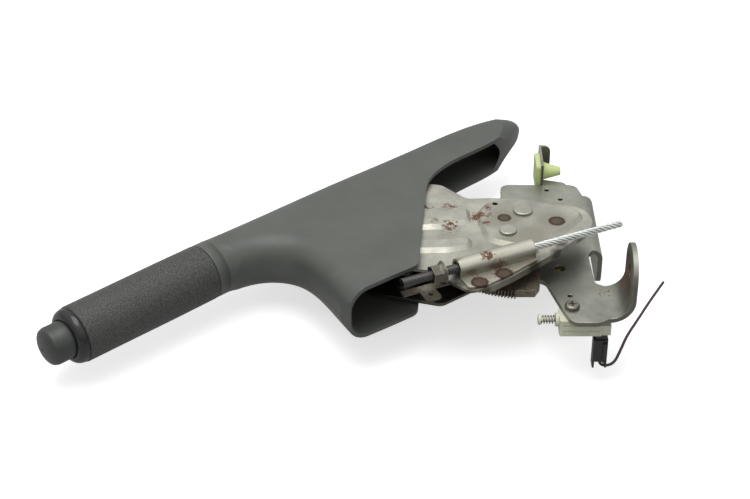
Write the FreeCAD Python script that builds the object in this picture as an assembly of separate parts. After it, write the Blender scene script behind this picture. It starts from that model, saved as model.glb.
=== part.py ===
import FreeCAD, Part
import math
import os

# A car's handbrake lever: the pull-up handle with its moulded cover, the pressed lever arm, and the
# floor bracket with its toothed quadrant, pawl, cable adjuster and warning-lamp switch.
# Units are millimetres. The lever is shown fully pulled, as it would sit in the car: +X is forward,
# +Y is the car's left and +Z is up. The origin is the centre of the floor bolt hole, on the floor.
# Pieces are drawn round the pivot. Those of the lever are drawn in the lever's own plane, with x
# along the handle towards the button and z square to it, and are then turned by the pull angle.

# Lever position and pivot
PULL_ANGLE = 47.7
PIVOT_HEIGHT = 61.5
FOOT_BOLT_X = 70.0
FOOT_BOLT_Y = 15.0

# Sheets and the levels that they lie at, measured across the lever
PLATE_THICK = 3.0
PLATE_NEAR_Y = -8.0
SECTOR_THICK = 5.0
CHEEK_THICK = 2.0
SIDE_CLEARANCE = 0.6
TUBE_DIAMETER = 16.0
TUBE_WALL = 1.5
PLATEAU_RISE = 2.4
PLATEAU_SLOPE = 2.6
RIM_DEPTH = 2.5

PLATE_FAR_Y = PLATE_NEAR_Y - PLATE_THICK
SECTOR_NEAR_Y = PLATE_NEAR_Y + SECTOR_THICK
LEFT_INNER_Y = TUBE_DIAMETER / 2
LEFT_OUTER_Y = LEFT_INNER_Y + CHEEK_THICK
PLATEAU_Y = LEFT_OUTER_Y + PLATEAU_RISE
RIGHT_INNER_Y = PLATE_FAR_Y - SIDE_CLEARANCE
RIGHT_OUTER_Y = RIGHT_INNER_Y - CHEEK_THICK

# Pivot and the pin that limits the lever's travel
BUSH_DIAMETER = 16.0
RUNNING_CLEARANCE = 0.05
PIVOT_PIN_DIAMETER = 10.0
PIVOT_HEAD_DIAMETER = 12.5
RIVET_HEAD_HEIGHT = 1.6
STOP_X = 23.4
STOP_Z = -9.6
STOP_PIN_DIAMETER = 8.0
STOP_HEAD_DIAMETER = 11.0
LEVER_DOWN_TRAVEL = 40.0
LEVER_UP_TRAVEL = 3.0
SLOT_CLEARANCE = 0.4

# Toothed quadrant, with angles measured from +X about the pivot
SECTOR_TIP_RADIUS = 67.0
TOOTH_DEPTH = 2.2
TOOTH_PITCH = 2.0
TEETH_START_ANGLE = 7.5
SECTOR_START_ANGLE = 7.0
SECTOR_END_ANGLE = 64.0
SECTOR_RIVET_RADIUS = 38.5
SECTOR_RIVET_EDGE = 7.5
SECTOR_INNER_RADIUS = SECTOR_RIVET_RADIUS - SECTOR_RIVET_EDGE
SECTOR_RIVET_ANGLES = [6.0, 33.0, 58.0]
SECTOR_RIVET_DIAMETER = 6.0
SECTOR_RIVET_HEAD = 9.0

# Floor bracket
FOOT_WIDTH = 34.0
FOOT_BEND_RADIUS = 12.0
FOOT_BOLT_DIAMETER = 8.6
REAR_FLANGE_Z = -50.5
REAR_FLANGE_BEND = 4.0
REAR_FLANGE_REACH = 36.0
REAR_FLANGE_BACK = -50.0
REAR_FLANGE_FRONT = 14.0
REAR_BOLT_X = -18.0
REAR_BOLT_Y = -25.0
SIDE_HOLE_X = 34.5
SIDE_HOLE_Z = -21.2
SIDE_HOLE_DIAMETER = 6.8
WELD_NUT_FLATS = 10.0
WELD_NUT_HEIGHT = 4.5
SMALL_HOLE_DIAMETER = 3.2

# Console tab and its screw grommet
TAB_THICK = 1.5
TAB_TOP_Z = -17.0
TAB_BACK_X = -90.0
TAB_FRONT_X = -63.4
TAB_LEFT_Y = 7.0
TAB_RIGHT_Y = -16.0
TAB_LIP = 8.0
GROMMET_X = -76.5
GROMMET_Y = -5.0
GROMMET_HEAD = 19.0
GROMMET_HEAD_THICK = 3.0
GROMMET_SHANK = 10.0
GROMMET_CONE_DIAMETER = 12.4
GROMMET_CONE_LENGTH = 12.5
GROMMET_BORE = 4.2

# Warning-lamp switch
SWITCH_BACK_X = 71.0
SWITCH_FRONT_X = 85.5
SWITCH_TOP_Z = -17.5
SWITCH_BOTTOM_Z = -43.0
SWITCH_DEPTH = 11.0
SWITCH_SCREW_X = 75.0
SWITCH_SCREW_Z = -25.3
SCREW_DIAMETER = 5.0
SCREW_HEAD_DIAMETER = 9.0
SCREW_HEAD_HEIGHT = 2.6
SCREW_GRIP = 3.2
PLUNGER_X = 76.0
PLUNGER_Y = -16.4
PLUNGER_HEAD_DIAMETER = 6.6
PLUNGER_HEAD_THICK = 1.6
PLUNGER_TOP_Z = -5.0
PLUNGER_STEM_DIAMETER = 3.2
PLUNGER_TRAVEL = 5.0
PLUNGER_FIT = 0.05
SPRING_WIRE = 0.7
PLUG_X = 80.5
PLUG_WIDTH = 8.8
PLUG_THICK = 8.0
PLUG_LENGTH = 24.5
PLUG_Z = -43.0
BLADE_GAP = 4.0
WIRE_DIAMETER = 1.8

# Handle
GRIP_AXIS_Z = 95.8
GRIP_DIAMETER = 34.8
GRIP_START = 172.5
TUBE_START = 140.0
TUBE_END = 256.0
GRIP_PAST_TUBE = 18.0
GRIP_END = TUBE_END + GRIP_PAST_TUBE
COLLAR_LENGTH = 6.0
COLLAR_FRONT_DIAMETER = 29.0
BUTTON_DIAMETER = 23.5
BUTTON_CLEARANCE = 0.3
BUTTON_SPRING_ROOM = 9.5
BUTTON_LENGTH = 30.0
BUTTON_REAR = TUBE_END + BUTTON_SPRING_ROOM
BUTTON_TIP = BUTTON_REAR + BUTTON_LENGTH
BUTTON_DOME = 3.2
BUTTON_TRAVEL = 6.0
BUTTON_SPRING_WIRE = 1.0
BUTTON_SPRING_TURNS = 3
BUTTON_WALL = 2.0
ROD_DIAMETER = 5.0
ROD_END_X = 88.4
ROD_END_Z = 48.0
ROD_KNEE_X = 103.0
ROD_BEND_RADIUS = 12.0

# Pawl
PAWL_PIVOT_X = 86.0
PAWL_PIVOT_Z = 16.0
PAWL_PIN_DIAMETER = 7.0
PAWL_HUB_DIAMETER = 15.0
PAWL_ANGLE_AT_SECTOR = 5.0
PAWL_TIP_CLEARANCE = 0.3
PAWL_ROD_GAP = 0.3

# Cable run
RUN_Y = 15.5
RUN_TILT = 17.0
RUN_X = 91.0
RUN_Z = -16.8
THREAD_DIAMETER = 6.0
THREAD_TIP = 25.0
FERRULE_DIAMETER = 7.4
FERRULE_START = -15.0
FERRULE_END = -58.0
NUT_FLATS = 10.0
NUT_FLANGE_DIAMETER = 14.0
NUT_FLANGE_THICK = 1.6
NUT_HEIGHT = 8.0
CABLE_DIAMETER = 3.8
CABLE_TIP = -127.0
GUIDE_START = -13.0
GUIDE_END = -64.0
GUIDE_CLEARANCE = 0.5
GUIDE_WALL = 1.6
GUIDE_FLANGE = 21.0
CLIP_THICK = 1.2
CLIP_OUTER_Y = 6.0
CLIP_WIDTH = 5.0
CLIP_START = -14.0
CLIP_END = 22.0
CLIP_TAB_START = 1.5
CLIP_TAB_END = 12.0
CLIP_TAB_DROP = 11.0

# Moulded cover: the crown's sections are x, half width and top; the blends are x and radius
COVER_WALL = 2.6
COVER_START = 172.0
COVER_BACK = -92.0
COVER_FRONT_RADIUS = 15.0
COVER_NECK_RING = 5.0
COVER_NOSE_Z = 89.0
COVER_SECTIONS = [
    (COVER_START, 17.4, 113.2), (150.0, 17.7, 111.6), (120.0, 18.4, 110.2), (92.0, 18.2, 109.6),
    (60.0, 16.8, 109.2), (30.0, 15.0, 108.6), (0.0, 13.8, 108.0), (-30.0, 13.3, 107.2),
    (-52.0, 13.0, 105.2), (-72.0, 12.4, 100.8), (COVER_BACK, 11.4, 92.0),
]
COVER_NECK_BLEND = [(172.2, 17.45), (164.0, 18.4), (157.0, 21.2), (150.0, 26.7), (144.0, 36.0)]
COVER_NOSE_BLEND = [(-45.0, 27.0), (-60.0, 17.0), (-68.0, 13.6), (-76.0, 10.4), (-83.0, 7.0), (-88.0, 0.5)]
COVER_FRONT = [
    (COVER_START, 78.4), (160.0, 77.4), (147.0, 72.0), (139.0, 62.0), (137.0, 50.0), (139.0, 34.0),
    (143.0, 17.0), (147.0, 0.0),
]
COVER_EDGE = [
    (COVER_BACK, 89.0), (-78.0, 81.0), (-60.0, 74.5), (-40.0, 72.0), (-10.0, 72.0), (10.0, 68.5), (28.0, 58.5),
]
COVER_EDGE_CORNER = [(92.0, -2.0), (95.2, -4.3), (99.0, -5.0)]

parts = {}


def vector(x, y, z):
    return FreeCAD.Vector(x, y, z)


def keep(name, shape, in_lever=False):
    """Put a piece at its place in the car and remember it under its node name."""
    placed = shape.copy()
    if in_lever:
        placed.rotate(vector(0, 0, 0), vector(0, -1, 0), PULL_ANGLE)
    placed.translate(vector(-FOOT_BOLT_X, -FOOT_BOLT_Y, PIVOT_HEIGHT))
    parts[name] = placed


def rounded_wire(corners, y):
    """A closed outline in the plane at y, from corners given as x, z and corner radius."""
    ends = []
    count = len(corners)
    for index, (x, z, radius) in enumerate(corners):
        point = vector(x, y, z)
        before = vector(corners[index - 1][0], y, corners[index - 1][1]) - point
        after_corner = corners[(index + 1) % count]
        after = vector(after_corner[0], y, after_corner[1]) - point
        before.normalize()
        after.normalize()
        half_angle = before.getAngle(after) / 2
        if radius == 0:
            ends.append((point, None, point))
            continue
        reach = radius / math.tan(half_angle)
        middle = before + after
        middle.normalize()
        depth = radius / math.sin(half_angle) - radius
        ends.append((point + before * reach, point + middle * depth, point + after * reach))
    edges = []
    for index, (start, middle, end) in enumerate(ends):
        if middle is not None:
            edges.append(Part.Arc(start, middle, end).toShape())
        next_start = ends[(index + 1) % count][0]
        if (next_start - end).Length > 1e-6:
            edges.append(Part.LineSegment(end, next_start).toShape())
    return Part.Wire(edges)


def sheet(corners, y_low, y_high):
    """A flat sheet with a rounded outline, between two levels across the lever."""
    face = Part.Face(rounded_wire(corners, y_low))
    return face.extrude(vector(0, y_high - y_low, 0))


def pad(corners, y_low, y_high, inset):
    """A raised pad whose sides slope in by the inset, as a pressed emboss has them."""
    base = rounded_wire(corners, y_low)
    top = base.makeOffset2D(-inset)
    top.translate(vector(0, y_high - y_low, 0))
    return Part.makeLoft([base, top], True, True)


def post(x, z, radius, y_low, y_high):
    """A round bar across the lever."""
    return Part.makeCylinder(radius, y_high - y_low, vector(x, y_low, z), vector(0, 1, 0))


def upright(x, y, radius, z_low, z_high):
    """A round bar standing along Z."""
    return Part.makeCylinder(radius, z_high - z_low, vector(x, y, z_low))


def block(x_low, x_high, y_low, y_high, z_low, z_high):
    size = (x_high - x_low, y_high - y_low, z_high - z_low)
    return Part.makeBox(*size, vector(x_low, y_low, z_low))


def polar(radius, angle):
    return radius * math.cos(math.radians(angle)), radius * math.sin(math.radians(angle))


def ring_arc(inner, outer, start, end, y_low, y_high):
    """A curved bar about the pivot, between two angles from +X."""
    middle = (start + end) / 2
    outer_points = [vector(x, y_low, z) for x, z in (polar(outer, a) for a in (start, middle, end))]
    inner_points = [vector(x, y_low, z) for x, z in (polar(inner, a) for a in (end, middle, start))]
    edges = [
        Part.Arc(*outer_points).toShape(),
        Part.LineSegment(outer_points[2], inner_points[0]).toShape(),
        Part.Arc(*inner_points).toShape(),
        Part.LineSegment(inner_points[2], outer_points[0]).toShape(),
    ]
    return Part.Face(Part.Wire(edges)).extrude(vector(0, y_high - y_low, 0))


def helix_spring(radius, wire, pitch, height):
    """An open coil spring along Z from the origin."""
    path = Part.makeHelix(pitch, height, radius)
    profile = Part.Wire(Part.makeCircle(wire / 2, vector(radius, 0, 0), vector(0, 1, 0)))
    return Part.Wire(path.Edges).makePipeShell([profile], True, True)


def stop_angle():
    return math.degrees(math.atan2(STOP_Z, STOP_X)) + PULL_ANGLE


# Floor bracket
FOOT_BACK_X = FOOT_BOLT_X - FOOT_WIDTH / 2
FOOT_FRONT_X = FOOT_BOLT_X + FOOT_WIDTH / 2
FOOT_BEND_Z = -PIVOT_HEIGHT + PLATE_THICK + FOOT_BEND_RADIUS
REAR_BEND_Z = REAR_FLANGE_Z + PLATE_THICK + REAR_FLANGE_BEND


def bent_edge(x_low, x_high, z_bend, radius, side):
    """A quarter bend from the bracket's plate to a flange, towards +Y or -Y."""
    near = PLATE_NEAR_Y if side > 0 else PLATE_FAR_Y
    centre = vector(x_low, near + side * radius, z_bend)
    outer = radius + PLATE_THICK
    ring = Part.makeCylinder(outer, x_high - x_low, centre, vector(1, 0, 0))
    ring = ring.cut(Part.makeCylinder(radius, x_high - x_low, centre, vector(1, 0, 0)))
    y_limits = sorted((centre.y - side * outer, centre.y))
    return ring.common(block(x_low, x_high, *y_limits, z_bend - outer, z_bend))


def bracket_plate():
    outline = [
        (-63.4, 9.9, 6), (-46.0, 9.9, 14), (-26.0, 31.0, 16), (4.0, 45.5, 16),
        (27.0, 45.0, 20), (44.0, 24.0, 20), (42.3, -1.7, 5), (48.7, -11.7, 5),
        (78.9, -20.0, 6), (90.5, -24.0, 7), (91.0, -40.0, 9), (FOOT_FRONT_X, FOOT_BEND_Z, 0),
        (FOOT_BACK_X, FOOT_BEND_Z, 0), (50.0, -41.5, 4), (19.0, -40.5, 6),
        (REAR_FLANGE_FRONT, REAR_BEND_Z, 1), (REAR_FLANGE_BACK, REAR_BEND_Z, 1), (-63.4, -40.0, 6),
    ]
    plate = sheet(outline, PLATE_FAR_Y, PLATE_NEAR_Y)
    foot_bend = bent_edge(FOOT_BACK_X, FOOT_FRONT_X, FOOT_BEND_Z, FOOT_BEND_RADIUS, 1)
    foot_start_y = PLATE_NEAR_Y + FOOT_BEND_RADIUS
    foot_z = -PIVOT_HEIGHT
    foot = block(FOOT_BACK_X, FOOT_FRONT_X, foot_start_y, FOOT_BOLT_Y, foot_z, foot_z + PLATE_THICK)
    foot = foot.fuse(upright(FOOT_BOLT_X, FOOT_BOLT_Y, FOOT_WIDTH / 2, foot_z, foot_z + PLATE_THICK))
    rear_bend = bent_edge(REAR_FLANGE_BACK, REAR_FLANGE_FRONT, REAR_BEND_Z, REAR_FLANGE_BEND, -1)
    rear_start_y = PLATE_FAR_Y - REAR_FLANGE_BEND
    rear_levels = (REAR_FLANGE_Z, REAR_FLANGE_Z + PLATE_THICK)
    rear = block(REAR_FLANGE_BACK, REAR_FLANGE_FRONT, -REAR_FLANGE_REACH, rear_start_y, *rear_levels)
    corners = [edge for edge in rear.Edges if edge.BoundBox.YMax < 1 - REAR_FLANGE_REACH
               and edge.BoundBox.XLength < 0.1]
    rear = rear.makeFillet(9.0, corners)
    shape = plate.multiFuse([foot_bend, foot, rear_bend, rear]).removeSplitter()
    cuts = [
        post(0, 0, BUSH_DIAMETER / 2 + RUNNING_CLEARANCE, PLATE_FAR_Y - 1, PLATE_NEAR_Y + 1),
        post(SIDE_HOLE_X, SIDE_HOLE_Z, SIDE_HOLE_DIAMETER / 2, PLATE_FAR_Y - 1, PLATE_NEAR_Y + 1),
        post(SWITCH_SCREW_X, SWITCH_SCREW_Z, SCREW_DIAMETER / 2, PLATE_FAR_Y - 1, PLATE_NEAR_Y + 1),
        upright(FOOT_BOLT_X, FOOT_BOLT_Y, FOOT_BOLT_DIAMETER / 2, foot_z - 1, foot_z + PLATE_THICK + 1),
        upright(REAR_BOLT_X, REAR_BOLT_Y, FOOT_BOLT_DIAMETER / 2, REAR_FLANGE_Z - 1, REAR_BEND_Z),
    ]
    for x, z in ((63.5, -25.0), (-56.8, -20.4), (-45.5, -28.6)):
        cuts.append(post(x, z, SMALL_HOLE_DIAMETER / 2, PLATE_FAR_Y - 1, PLATE_NEAR_Y + 1))
    for angle in SECTOR_RIVET_ANGLES:
        x, z = polar(SECTOR_RIVET_RADIUS, angle)
        cuts.append(post(x, z, SECTOR_RIVET_DIAMETER / 2, PLATE_FAR_Y - 1, PLATE_NEAR_Y + 1))
    cuts.extend(stop_slot())
    return shape.cut(Part.makeCompound(cuts))


def stop_slot():
    """The curved slot that the lever's stop pin runs in."""
    half_width = STOP_PIN_DIAMETER / 2 + SLOT_CLEARANCE
    radius = math.hypot(STOP_X, STOP_Z)
    low = stop_angle() - LEVER_DOWN_TRAVEL
    high = stop_angle() + LEVER_UP_TRAVEL
    levels = (PLATE_FAR_Y - 1, PLATE_NEAR_Y + 1)
    slot = ring_arc(radius - half_width, radius + half_width, low, high, *levels)
    ends = [post(*polar(radius, angle), half_width, *levels) for angle in (low, high)]
    return [slot.fuse(ends[0]).fuse(ends[1])]


def ratchet_sector():
    """The toothed quadrant, a thick blanked plate with saw teeth round its edge."""
    inner = ring_arc(SECTOR_INNER_RADIUS, SECTOR_TIP_RADIUS, SECTOR_START_ANGLE, SECTOR_END_ANGLE,
                     PLATE_NEAR_Y, SECTOR_NEAR_Y)
    step_radius = SECTOR_TIP_RADIUS - TOOTH_DEPTH
    heel = sheet([(SECTOR_INNER_RADIUS, 9.0, 0), (step_radius, 9.0, 0), (step_radius, -3.6, 1),
                  (58.0, -7.0, 1.5), (42.0, -8.0, 4), (SECTOR_INNER_RADIUS, -2.0, 3)],
                 PLATE_NEAR_Y, SECTOR_NEAR_Y)
    sector = inner.fuse(heel).removeSplitter()
    step = math.degrees(TOOTH_PITCH / SECTOR_TIP_RADIUS)
    count = int((SECTOR_END_ANGLE - TEETH_START_ANGLE) / step)
    root = SECTOR_TIP_RADIUS - TOOTH_DEPTH
    gaps = []
    for index in range(count):
        start = TEETH_START_ANGLE + index * step
        points = [polar(SECTOR_TIP_RADIUS + 0.5, start + 0.12 * step), polar(root, start + 0.25 * step),
                  polar(SECTOR_TIP_RADIUS + 0.5, start + 0.95 * step)]
        gaps.append(sheet([(x, z, 0) for x, z in points], PLATE_NEAR_Y - 1, SECTOR_NEAR_Y + 1))
    sector = sector.cut(Part.makeCompound(gaps))
    holes = [post(*polar(SECTOR_RIVET_RADIUS, angle), SECTOR_RIVET_DIAMETER / 2, PLATE_NEAR_Y - 1,
                  SECTOR_NEAR_Y + 1) for angle in SECTOR_RIVET_ANGLES]
    return sector.cut(Part.makeCompound(holes))


def domed_head(x, z, diameter, y, height):
    """A low rivet head with a rounded edge, standing on the level y."""
    head = post(x, z, diameter / 2, y, y + height)
    rim = [edge for edge in head.Edges if abs(edge.BoundBox.YMin - y - height) < 1e-3
           and edge.BoundBox.YLength < 1e-3]
    return head.makeFillet(height * 0.6, rim)


def sector_rivets():
    solids = []
    for angle in SECTOR_RIVET_ANGLES:
        x, z = polar(SECTOR_RIVET_RADIUS, angle)
        shank = post(x, z, SECTOR_RIVET_DIAMETER / 2, PLATE_FAR_Y, SECTOR_NEAR_Y)
        solids.append(shank.fuse(domed_head(x, z, SECTOR_RIVET_HEAD, SECTOR_NEAR_Y, RIVET_HEAD_HEIGHT)))
    return Part.makeCompound([solid.removeSplitter() for solid in solids])


def weld_nut():
    """A captive nut behind the side hole, which shows through it."""
    x, z = SIDE_HOLE_X, SIDE_HOLE_Z
    across = WELD_NUT_FLATS / math.sqrt(3)
    corners = [(x + polar(across, 60 * k)[0], z + polar(across, 60 * k)[1], 0) for k in range(6)]
    nut = sheet(corners, PLATE_FAR_Y - WELD_NUT_HEIGHT, PLATE_FAR_Y)
    return nut.cut(post(x, z, 2.5, PLATE_FAR_Y - WELD_NUT_HEIGHT - 1, PLATE_FAR_Y + 1))


# Console tab and grommet
def console_tab():
    """A thin angle welded behind the bracket: a shelf, a turned-down lip and a flange to the plate."""
    top = block(TAB_BACK_X, TAB_FRONT_X, TAB_RIGHT_Y, TAB_LEFT_Y, TAB_TOP_Z - TAB_THICK, TAB_TOP_Z)
    lip = block(TAB_BACK_X, TAB_BACK_X + TAB_THICK, TAB_RIGHT_Y, TAB_LEFT_Y, TAB_TOP_Z - TAB_LIP, TAB_TOP_Z)
    corners = [edge for edge in lip.Edges if edge.BoundBox.ZMax < TAB_TOP_Z - TAB_LIP + 0.1
               and edge.BoundBox.YLength < 0.1]
    lip = lip.makeFillet(TAB_LIP * 0.6, corners)
    flange_y = PLATE_FAR_Y - TAB_THICK
    flange = sheet([(TAB_BACK_X + 14, TAB_TOP_Z, 2), (-52.0, TAB_TOP_Z, 3), (-52.0, -38.0, 6),
                    (-66.0, -38.0, 8)], flange_y, PLATE_FAR_Y)
    ear = sheet([(TAB_FRONT_X, TAB_TOP_Z - TAB_THICK, 0), (TAB_FRONT_X, -35.0, 0), (-68.0, -33.0, 3),
                 (-72.0, TAB_TOP_Z - TAB_THICK, 0)], PLATE_FAR_Y, PLATE_NEAR_Y - 1)
    web = block(TAB_BACK_X + 15, -54.0, flange_y, PLATE_FAR_Y, TAB_TOP_Z - TAB_THICK, TAB_TOP_Z)
    tab = top.multiFuse([lip, flange, ear, web]).removeSplitter()
    hole = GROMMET_SHANK / 2
    return tab.cut(block(GROMMET_X - hole, GROMMET_X + hole, GROMMET_Y - hole, GROMMET_Y + hole,
                         TAB_TOP_Z - TAB_THICK - 1, TAB_TOP_Z + 1))


def console_grommet():
    half = GROMMET_HEAD / 2
    head = block(GROMMET_X - half, GROMMET_X + half, GROMMET_Y - half, GROMMET_Y + half,
                 TAB_TOP_Z, TAB_TOP_Z + GROMMET_HEAD_THICK)
    head = head.makeFillet(3.0, [edge for edge in head.Edges if edge.BoundBox.ZLength > 1])
    shank = GROMMET_SHANK / 2
    neck = block(GROMMET_X - shank, GROMMET_X + shank, GROMMET_Y - shank, GROMMET_Y + shank,
                 TAB_TOP_Z - TAB_THICK, TAB_TOP_Z)
    cone_top = TAB_TOP_Z - TAB_THICK
    cone = Part.makeCone(GROMMET_BORE / 2 + 0.6, GROMMET_CONE_DIAMETER / 2, GROMMET_CONE_LENGTH,
                         vector(GROMMET_X, GROMMET_Y, cone_top - GROMMET_CONE_LENGTH))
    bore = upright(GROMMET_X, GROMMET_Y, GROMMET_BORE / 2, cone_top - GROMMET_CONE_LENGTH + 3,
                   TAB_TOP_Z + GROMMET_HEAD_THICK + 1)
    return head.multiFuse([neck, cone]).removeSplitter().cut(bore)


# Switch
SWITCH_NEAR_Y = PLATE_FAR_Y
SWITCH_FAR_Y = SWITCH_NEAR_Y - SWITCH_DEPTH


def switch_body():
    body = block(SWITCH_BACK_X, SWITCH_FRONT_X, SWITCH_FAR_Y, SWITCH_NEAR_Y, SWITCH_BOTTOM_Z, SWITCH_TOP_Z)
    body = body.makeFillet(1.2, [edge for edge in body.Edges if edge.BoundBox.YLength > 5])
    spigot_top = SWITCH_TOP_Z + 2.0
    spigot = upright(PLUNGER_X, PLUNGER_Y, 4.2, SWITCH_TOP_Z, spigot_top)
    terminal_half = PLUG_WIDTH / 2 + 1.0
    block_top = PLUG_Z + terminal_half
    terminal = block(PLUG_X - PLUG_THICK / 2, PLUG_X + PLUG_THICK / 2, SWITCH_FAR_Y, SWITCH_NEAR_Y - 4,
                     PLUG_Z - terminal_half, block_top)
    body = body.multiFuse([spigot, terminal]).removeSplitter()
    well_depth = SPRING_WIRE * 2 + PLUNGER_TRAVEL + 11.0
    bore = upright(PLUNGER_X, PLUNGER_Y, PLUNGER_STEM_DIAMETER / 2 + PLUNGER_FIT,
                   SWITCH_TOP_Z - well_depth, spigot_top + 1)
    screw_hole = post(SWITCH_SCREW_X, SWITCH_SCREW_Z, SCREW_DIAMETER / 2, SWITCH_NEAR_Y - SCREW_GRIP, SWITCH_NEAR_Y + 1)
    blades = [blade.copy() for blade in terminal_blades().Solids]
    grooves = [block(SWITCH_FRONT_X - 0.8, SWITCH_FRONT_X + 1, y, y + 1.0, SWITCH_BOTTOM_Z + 2,
                     SWITCH_TOP_Z - 2) for y in (SWITCH_FAR_Y + 3.0, SWITCH_FAR_Y + 7.0)]
    return body.cut(Part.makeCompound([bore, screw_hole] + blades + grooves))


def terminal_blades():
    """Two brass blades that stand out of the switch and into the plug."""
    solids = []
    for side in (-1, 1):
        z = PLUG_Z + side * BLADE_GAP / 2
        solids.append(block(PLUG_X - 2.4, PLUG_X + 2.4, SWITCH_FAR_Y - 9.0, SWITCH_FAR_Y + 5.0,
                            z - 0.4, z + 0.4))
    return Part.makeCompound(solids)


def switch_screw():
    head = domed_head(SWITCH_SCREW_X, SWITCH_SCREW_Z, SCREW_HEAD_DIAMETER, PLATE_NEAR_Y, SCREW_HEAD_HEIGHT)
    shank = post(SWITCH_SCREW_X, SWITCH_SCREW_Z, SCREW_DIAMETER / 2, SWITCH_NEAR_Y - SCREW_GRIP, PLATE_NEAR_Y)
    slots = [block(SWITCH_SCREW_X - 2.4, SWITCH_SCREW_X + 2.4, PLATE_NEAR_Y + SCREW_HEAD_HEIGHT - 1.5,
                   PLATE_NEAR_Y + SCREW_HEAD_HEIGHT + 1, SWITCH_SCREW_Z - 0.5, SWITCH_SCREW_Z + 0.5),
             block(SWITCH_SCREW_X - 0.5, SWITCH_SCREW_X + 0.5, PLATE_NEAR_Y + SCREW_HEAD_HEIGHT - 1.5,
                   PLATE_NEAR_Y + SCREW_HEAD_HEIGHT + 1, SWITCH_SCREW_Z - 2.4, SWITCH_SCREW_Z + 2.4)]
    return head.fuse(shank).removeSplitter().cut(slots[0].fuse(slots[1]))


def switch_plunger():
    head = upright(PLUNGER_X, PLUNGER_Y, PLUNGER_HEAD_DIAMETER / 2, PLUNGER_TOP_Z - PLUNGER_HEAD_THICK,
                   PLUNGER_TOP_Z)
    rim = [edge for edge in head.Edges if edge.BoundBox.ZMin > PLUNGER_TOP_Z - 1e-3]
    head = head.makeFillet(PLUNGER_HEAD_THICK * 0.6, rim)
    stem = upright(PLUNGER_X, PLUNGER_Y, PLUNGER_STEM_DIAMETER / 2, SWITCH_TOP_Z - 11.0,
                   PLUNGER_TOP_Z - PLUNGER_HEAD_THICK)
    return head.fuse(stem).removeSplitter()


def switch_spring():
    bottom = SWITCH_TOP_Z + 2.0 + SPRING_WIRE / 2
    top = PLUNGER_TOP_Z - PLUNGER_HEAD_THICK - SPRING_WIRE / 2
    spring = helix_spring(PLUNGER_STEM_DIAMETER / 2 + SPRING_WIRE, SPRING_WIRE, (top - bottom) / 5, top - bottom)
    spring.translate(vector(PLUNGER_X, PLUNGER_Y, bottom))
    return spring


def wire_plug():
    """The moulded connector pushed over the blades, open at the end where the wire leaves."""
    start = SWITCH_FAR_Y
    end = start - PLUG_LENGTH
    body = block(PLUG_X - PLUG_THICK / 2, PLUG_X + PLUG_THICK / 2, end, start - 4.0,
                 PLUG_Z - PLUG_WIDTH / 2, PLUG_Z + PLUG_WIDTH / 2)
    body = body.makeFillet(0.8, [edge for edge in body.Edges if edge.BoundBox.YLength > 5])
    neck = block(PLUG_X - 3.2, PLUG_X + 3.2, start - 4.0, start, PLUG_Z - 3.4, PLUG_Z + 3.4)
    rib = block(PLUG_X + PLUG_THICK / 2, PLUG_X + PLUG_THICK / 2 + 1.2, end + 4, start - 6.0,
                PLUG_Z - PLUG_WIDTH / 2 + 0.8, PLUG_Z - PLUG_WIDTH / 2 + 3.0)
    mouth = block(PLUG_X - PLUG_THICK / 2 + 1.2, PLUG_X + PLUG_THICK / 2 + 2, end - 1, end + 4.5,
                  PLUG_Z - PLUG_WIDTH / 2 + 1.2, PLUG_Z + PLUG_WIDTH / 2 - 1.2)
    plug = body.multiFuse([neck, rib]).removeSplitter()
    return plug.cut(Part.makeCompound([mouth] + terminal_blades().Solids))


WIRE_EXIT_Y = SWITCH_FAR_Y - PLUG_LENGTH + 4.5
# The wire's route from the plug to its cut end, chosen by hand along the table that it lies on.
WIRE_ROUTE = [
    (80.5, WIRE_EXIT_Y, -43.0), (81.0, -50.0, -43.6), (85.5, -54.0, -47.5), (82.0, -56.5, -53.5),
    (69.5, -57.0, -58.5), (54.0, -56.5, -64.4), (37.5, -56.0, -73.3), (17.0, -56.0, -83.6), (-3.5, -56.0, -94.9),
]


def cord_tube(route, diameter):
    """A round cord along straight runs joined by arcs that are as large as their runs allow."""
    points = [vector(*point) for point in route]
    edges = []
    radii = []
    last = points[0]
    for before, corner, after in zip(points, points[1:], points[2:]):
        back = before - corner
        ahead = after - corner
        shorter = min(back.Length, ahead.Length)
        half_turn = (math.pi - back.getAngle(ahead)) / 2
        back.normalize()
        ahead.normalize()
        reach = 0.45 * shorter
        radius = reach / math.tan(half_turn)
        radii.append(round(radius, 1))
        towards = back + ahead
        towards.normalize()
        middle = corner + towards * (radius / math.cos(half_turn) - radius)
        start = corner + back * reach
        end = corner + ahead * reach
        edges.append(Part.LineSegment(last, start).toShape())
        edges.append(Part.Arc(start, middle, end).toShape())
        last = end
    edges.append(Part.LineSegment(last, points[-1]).toShape())
    path = Part.Wire(edges)
    direction = points[1] - points[0]
    profile = Part.Wire(Part.makeCircle(diameter / 2, points[0], direction))
    tube = path.makePipeShell([profile], True, True)
    expected = math.pi * diameter ** 2 / 4 * path.Length
    print("cord length", round(path.Length, 1), "radii", radii, "volume ratio", round(tube.Volume / expected, 4))
    return tube


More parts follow.
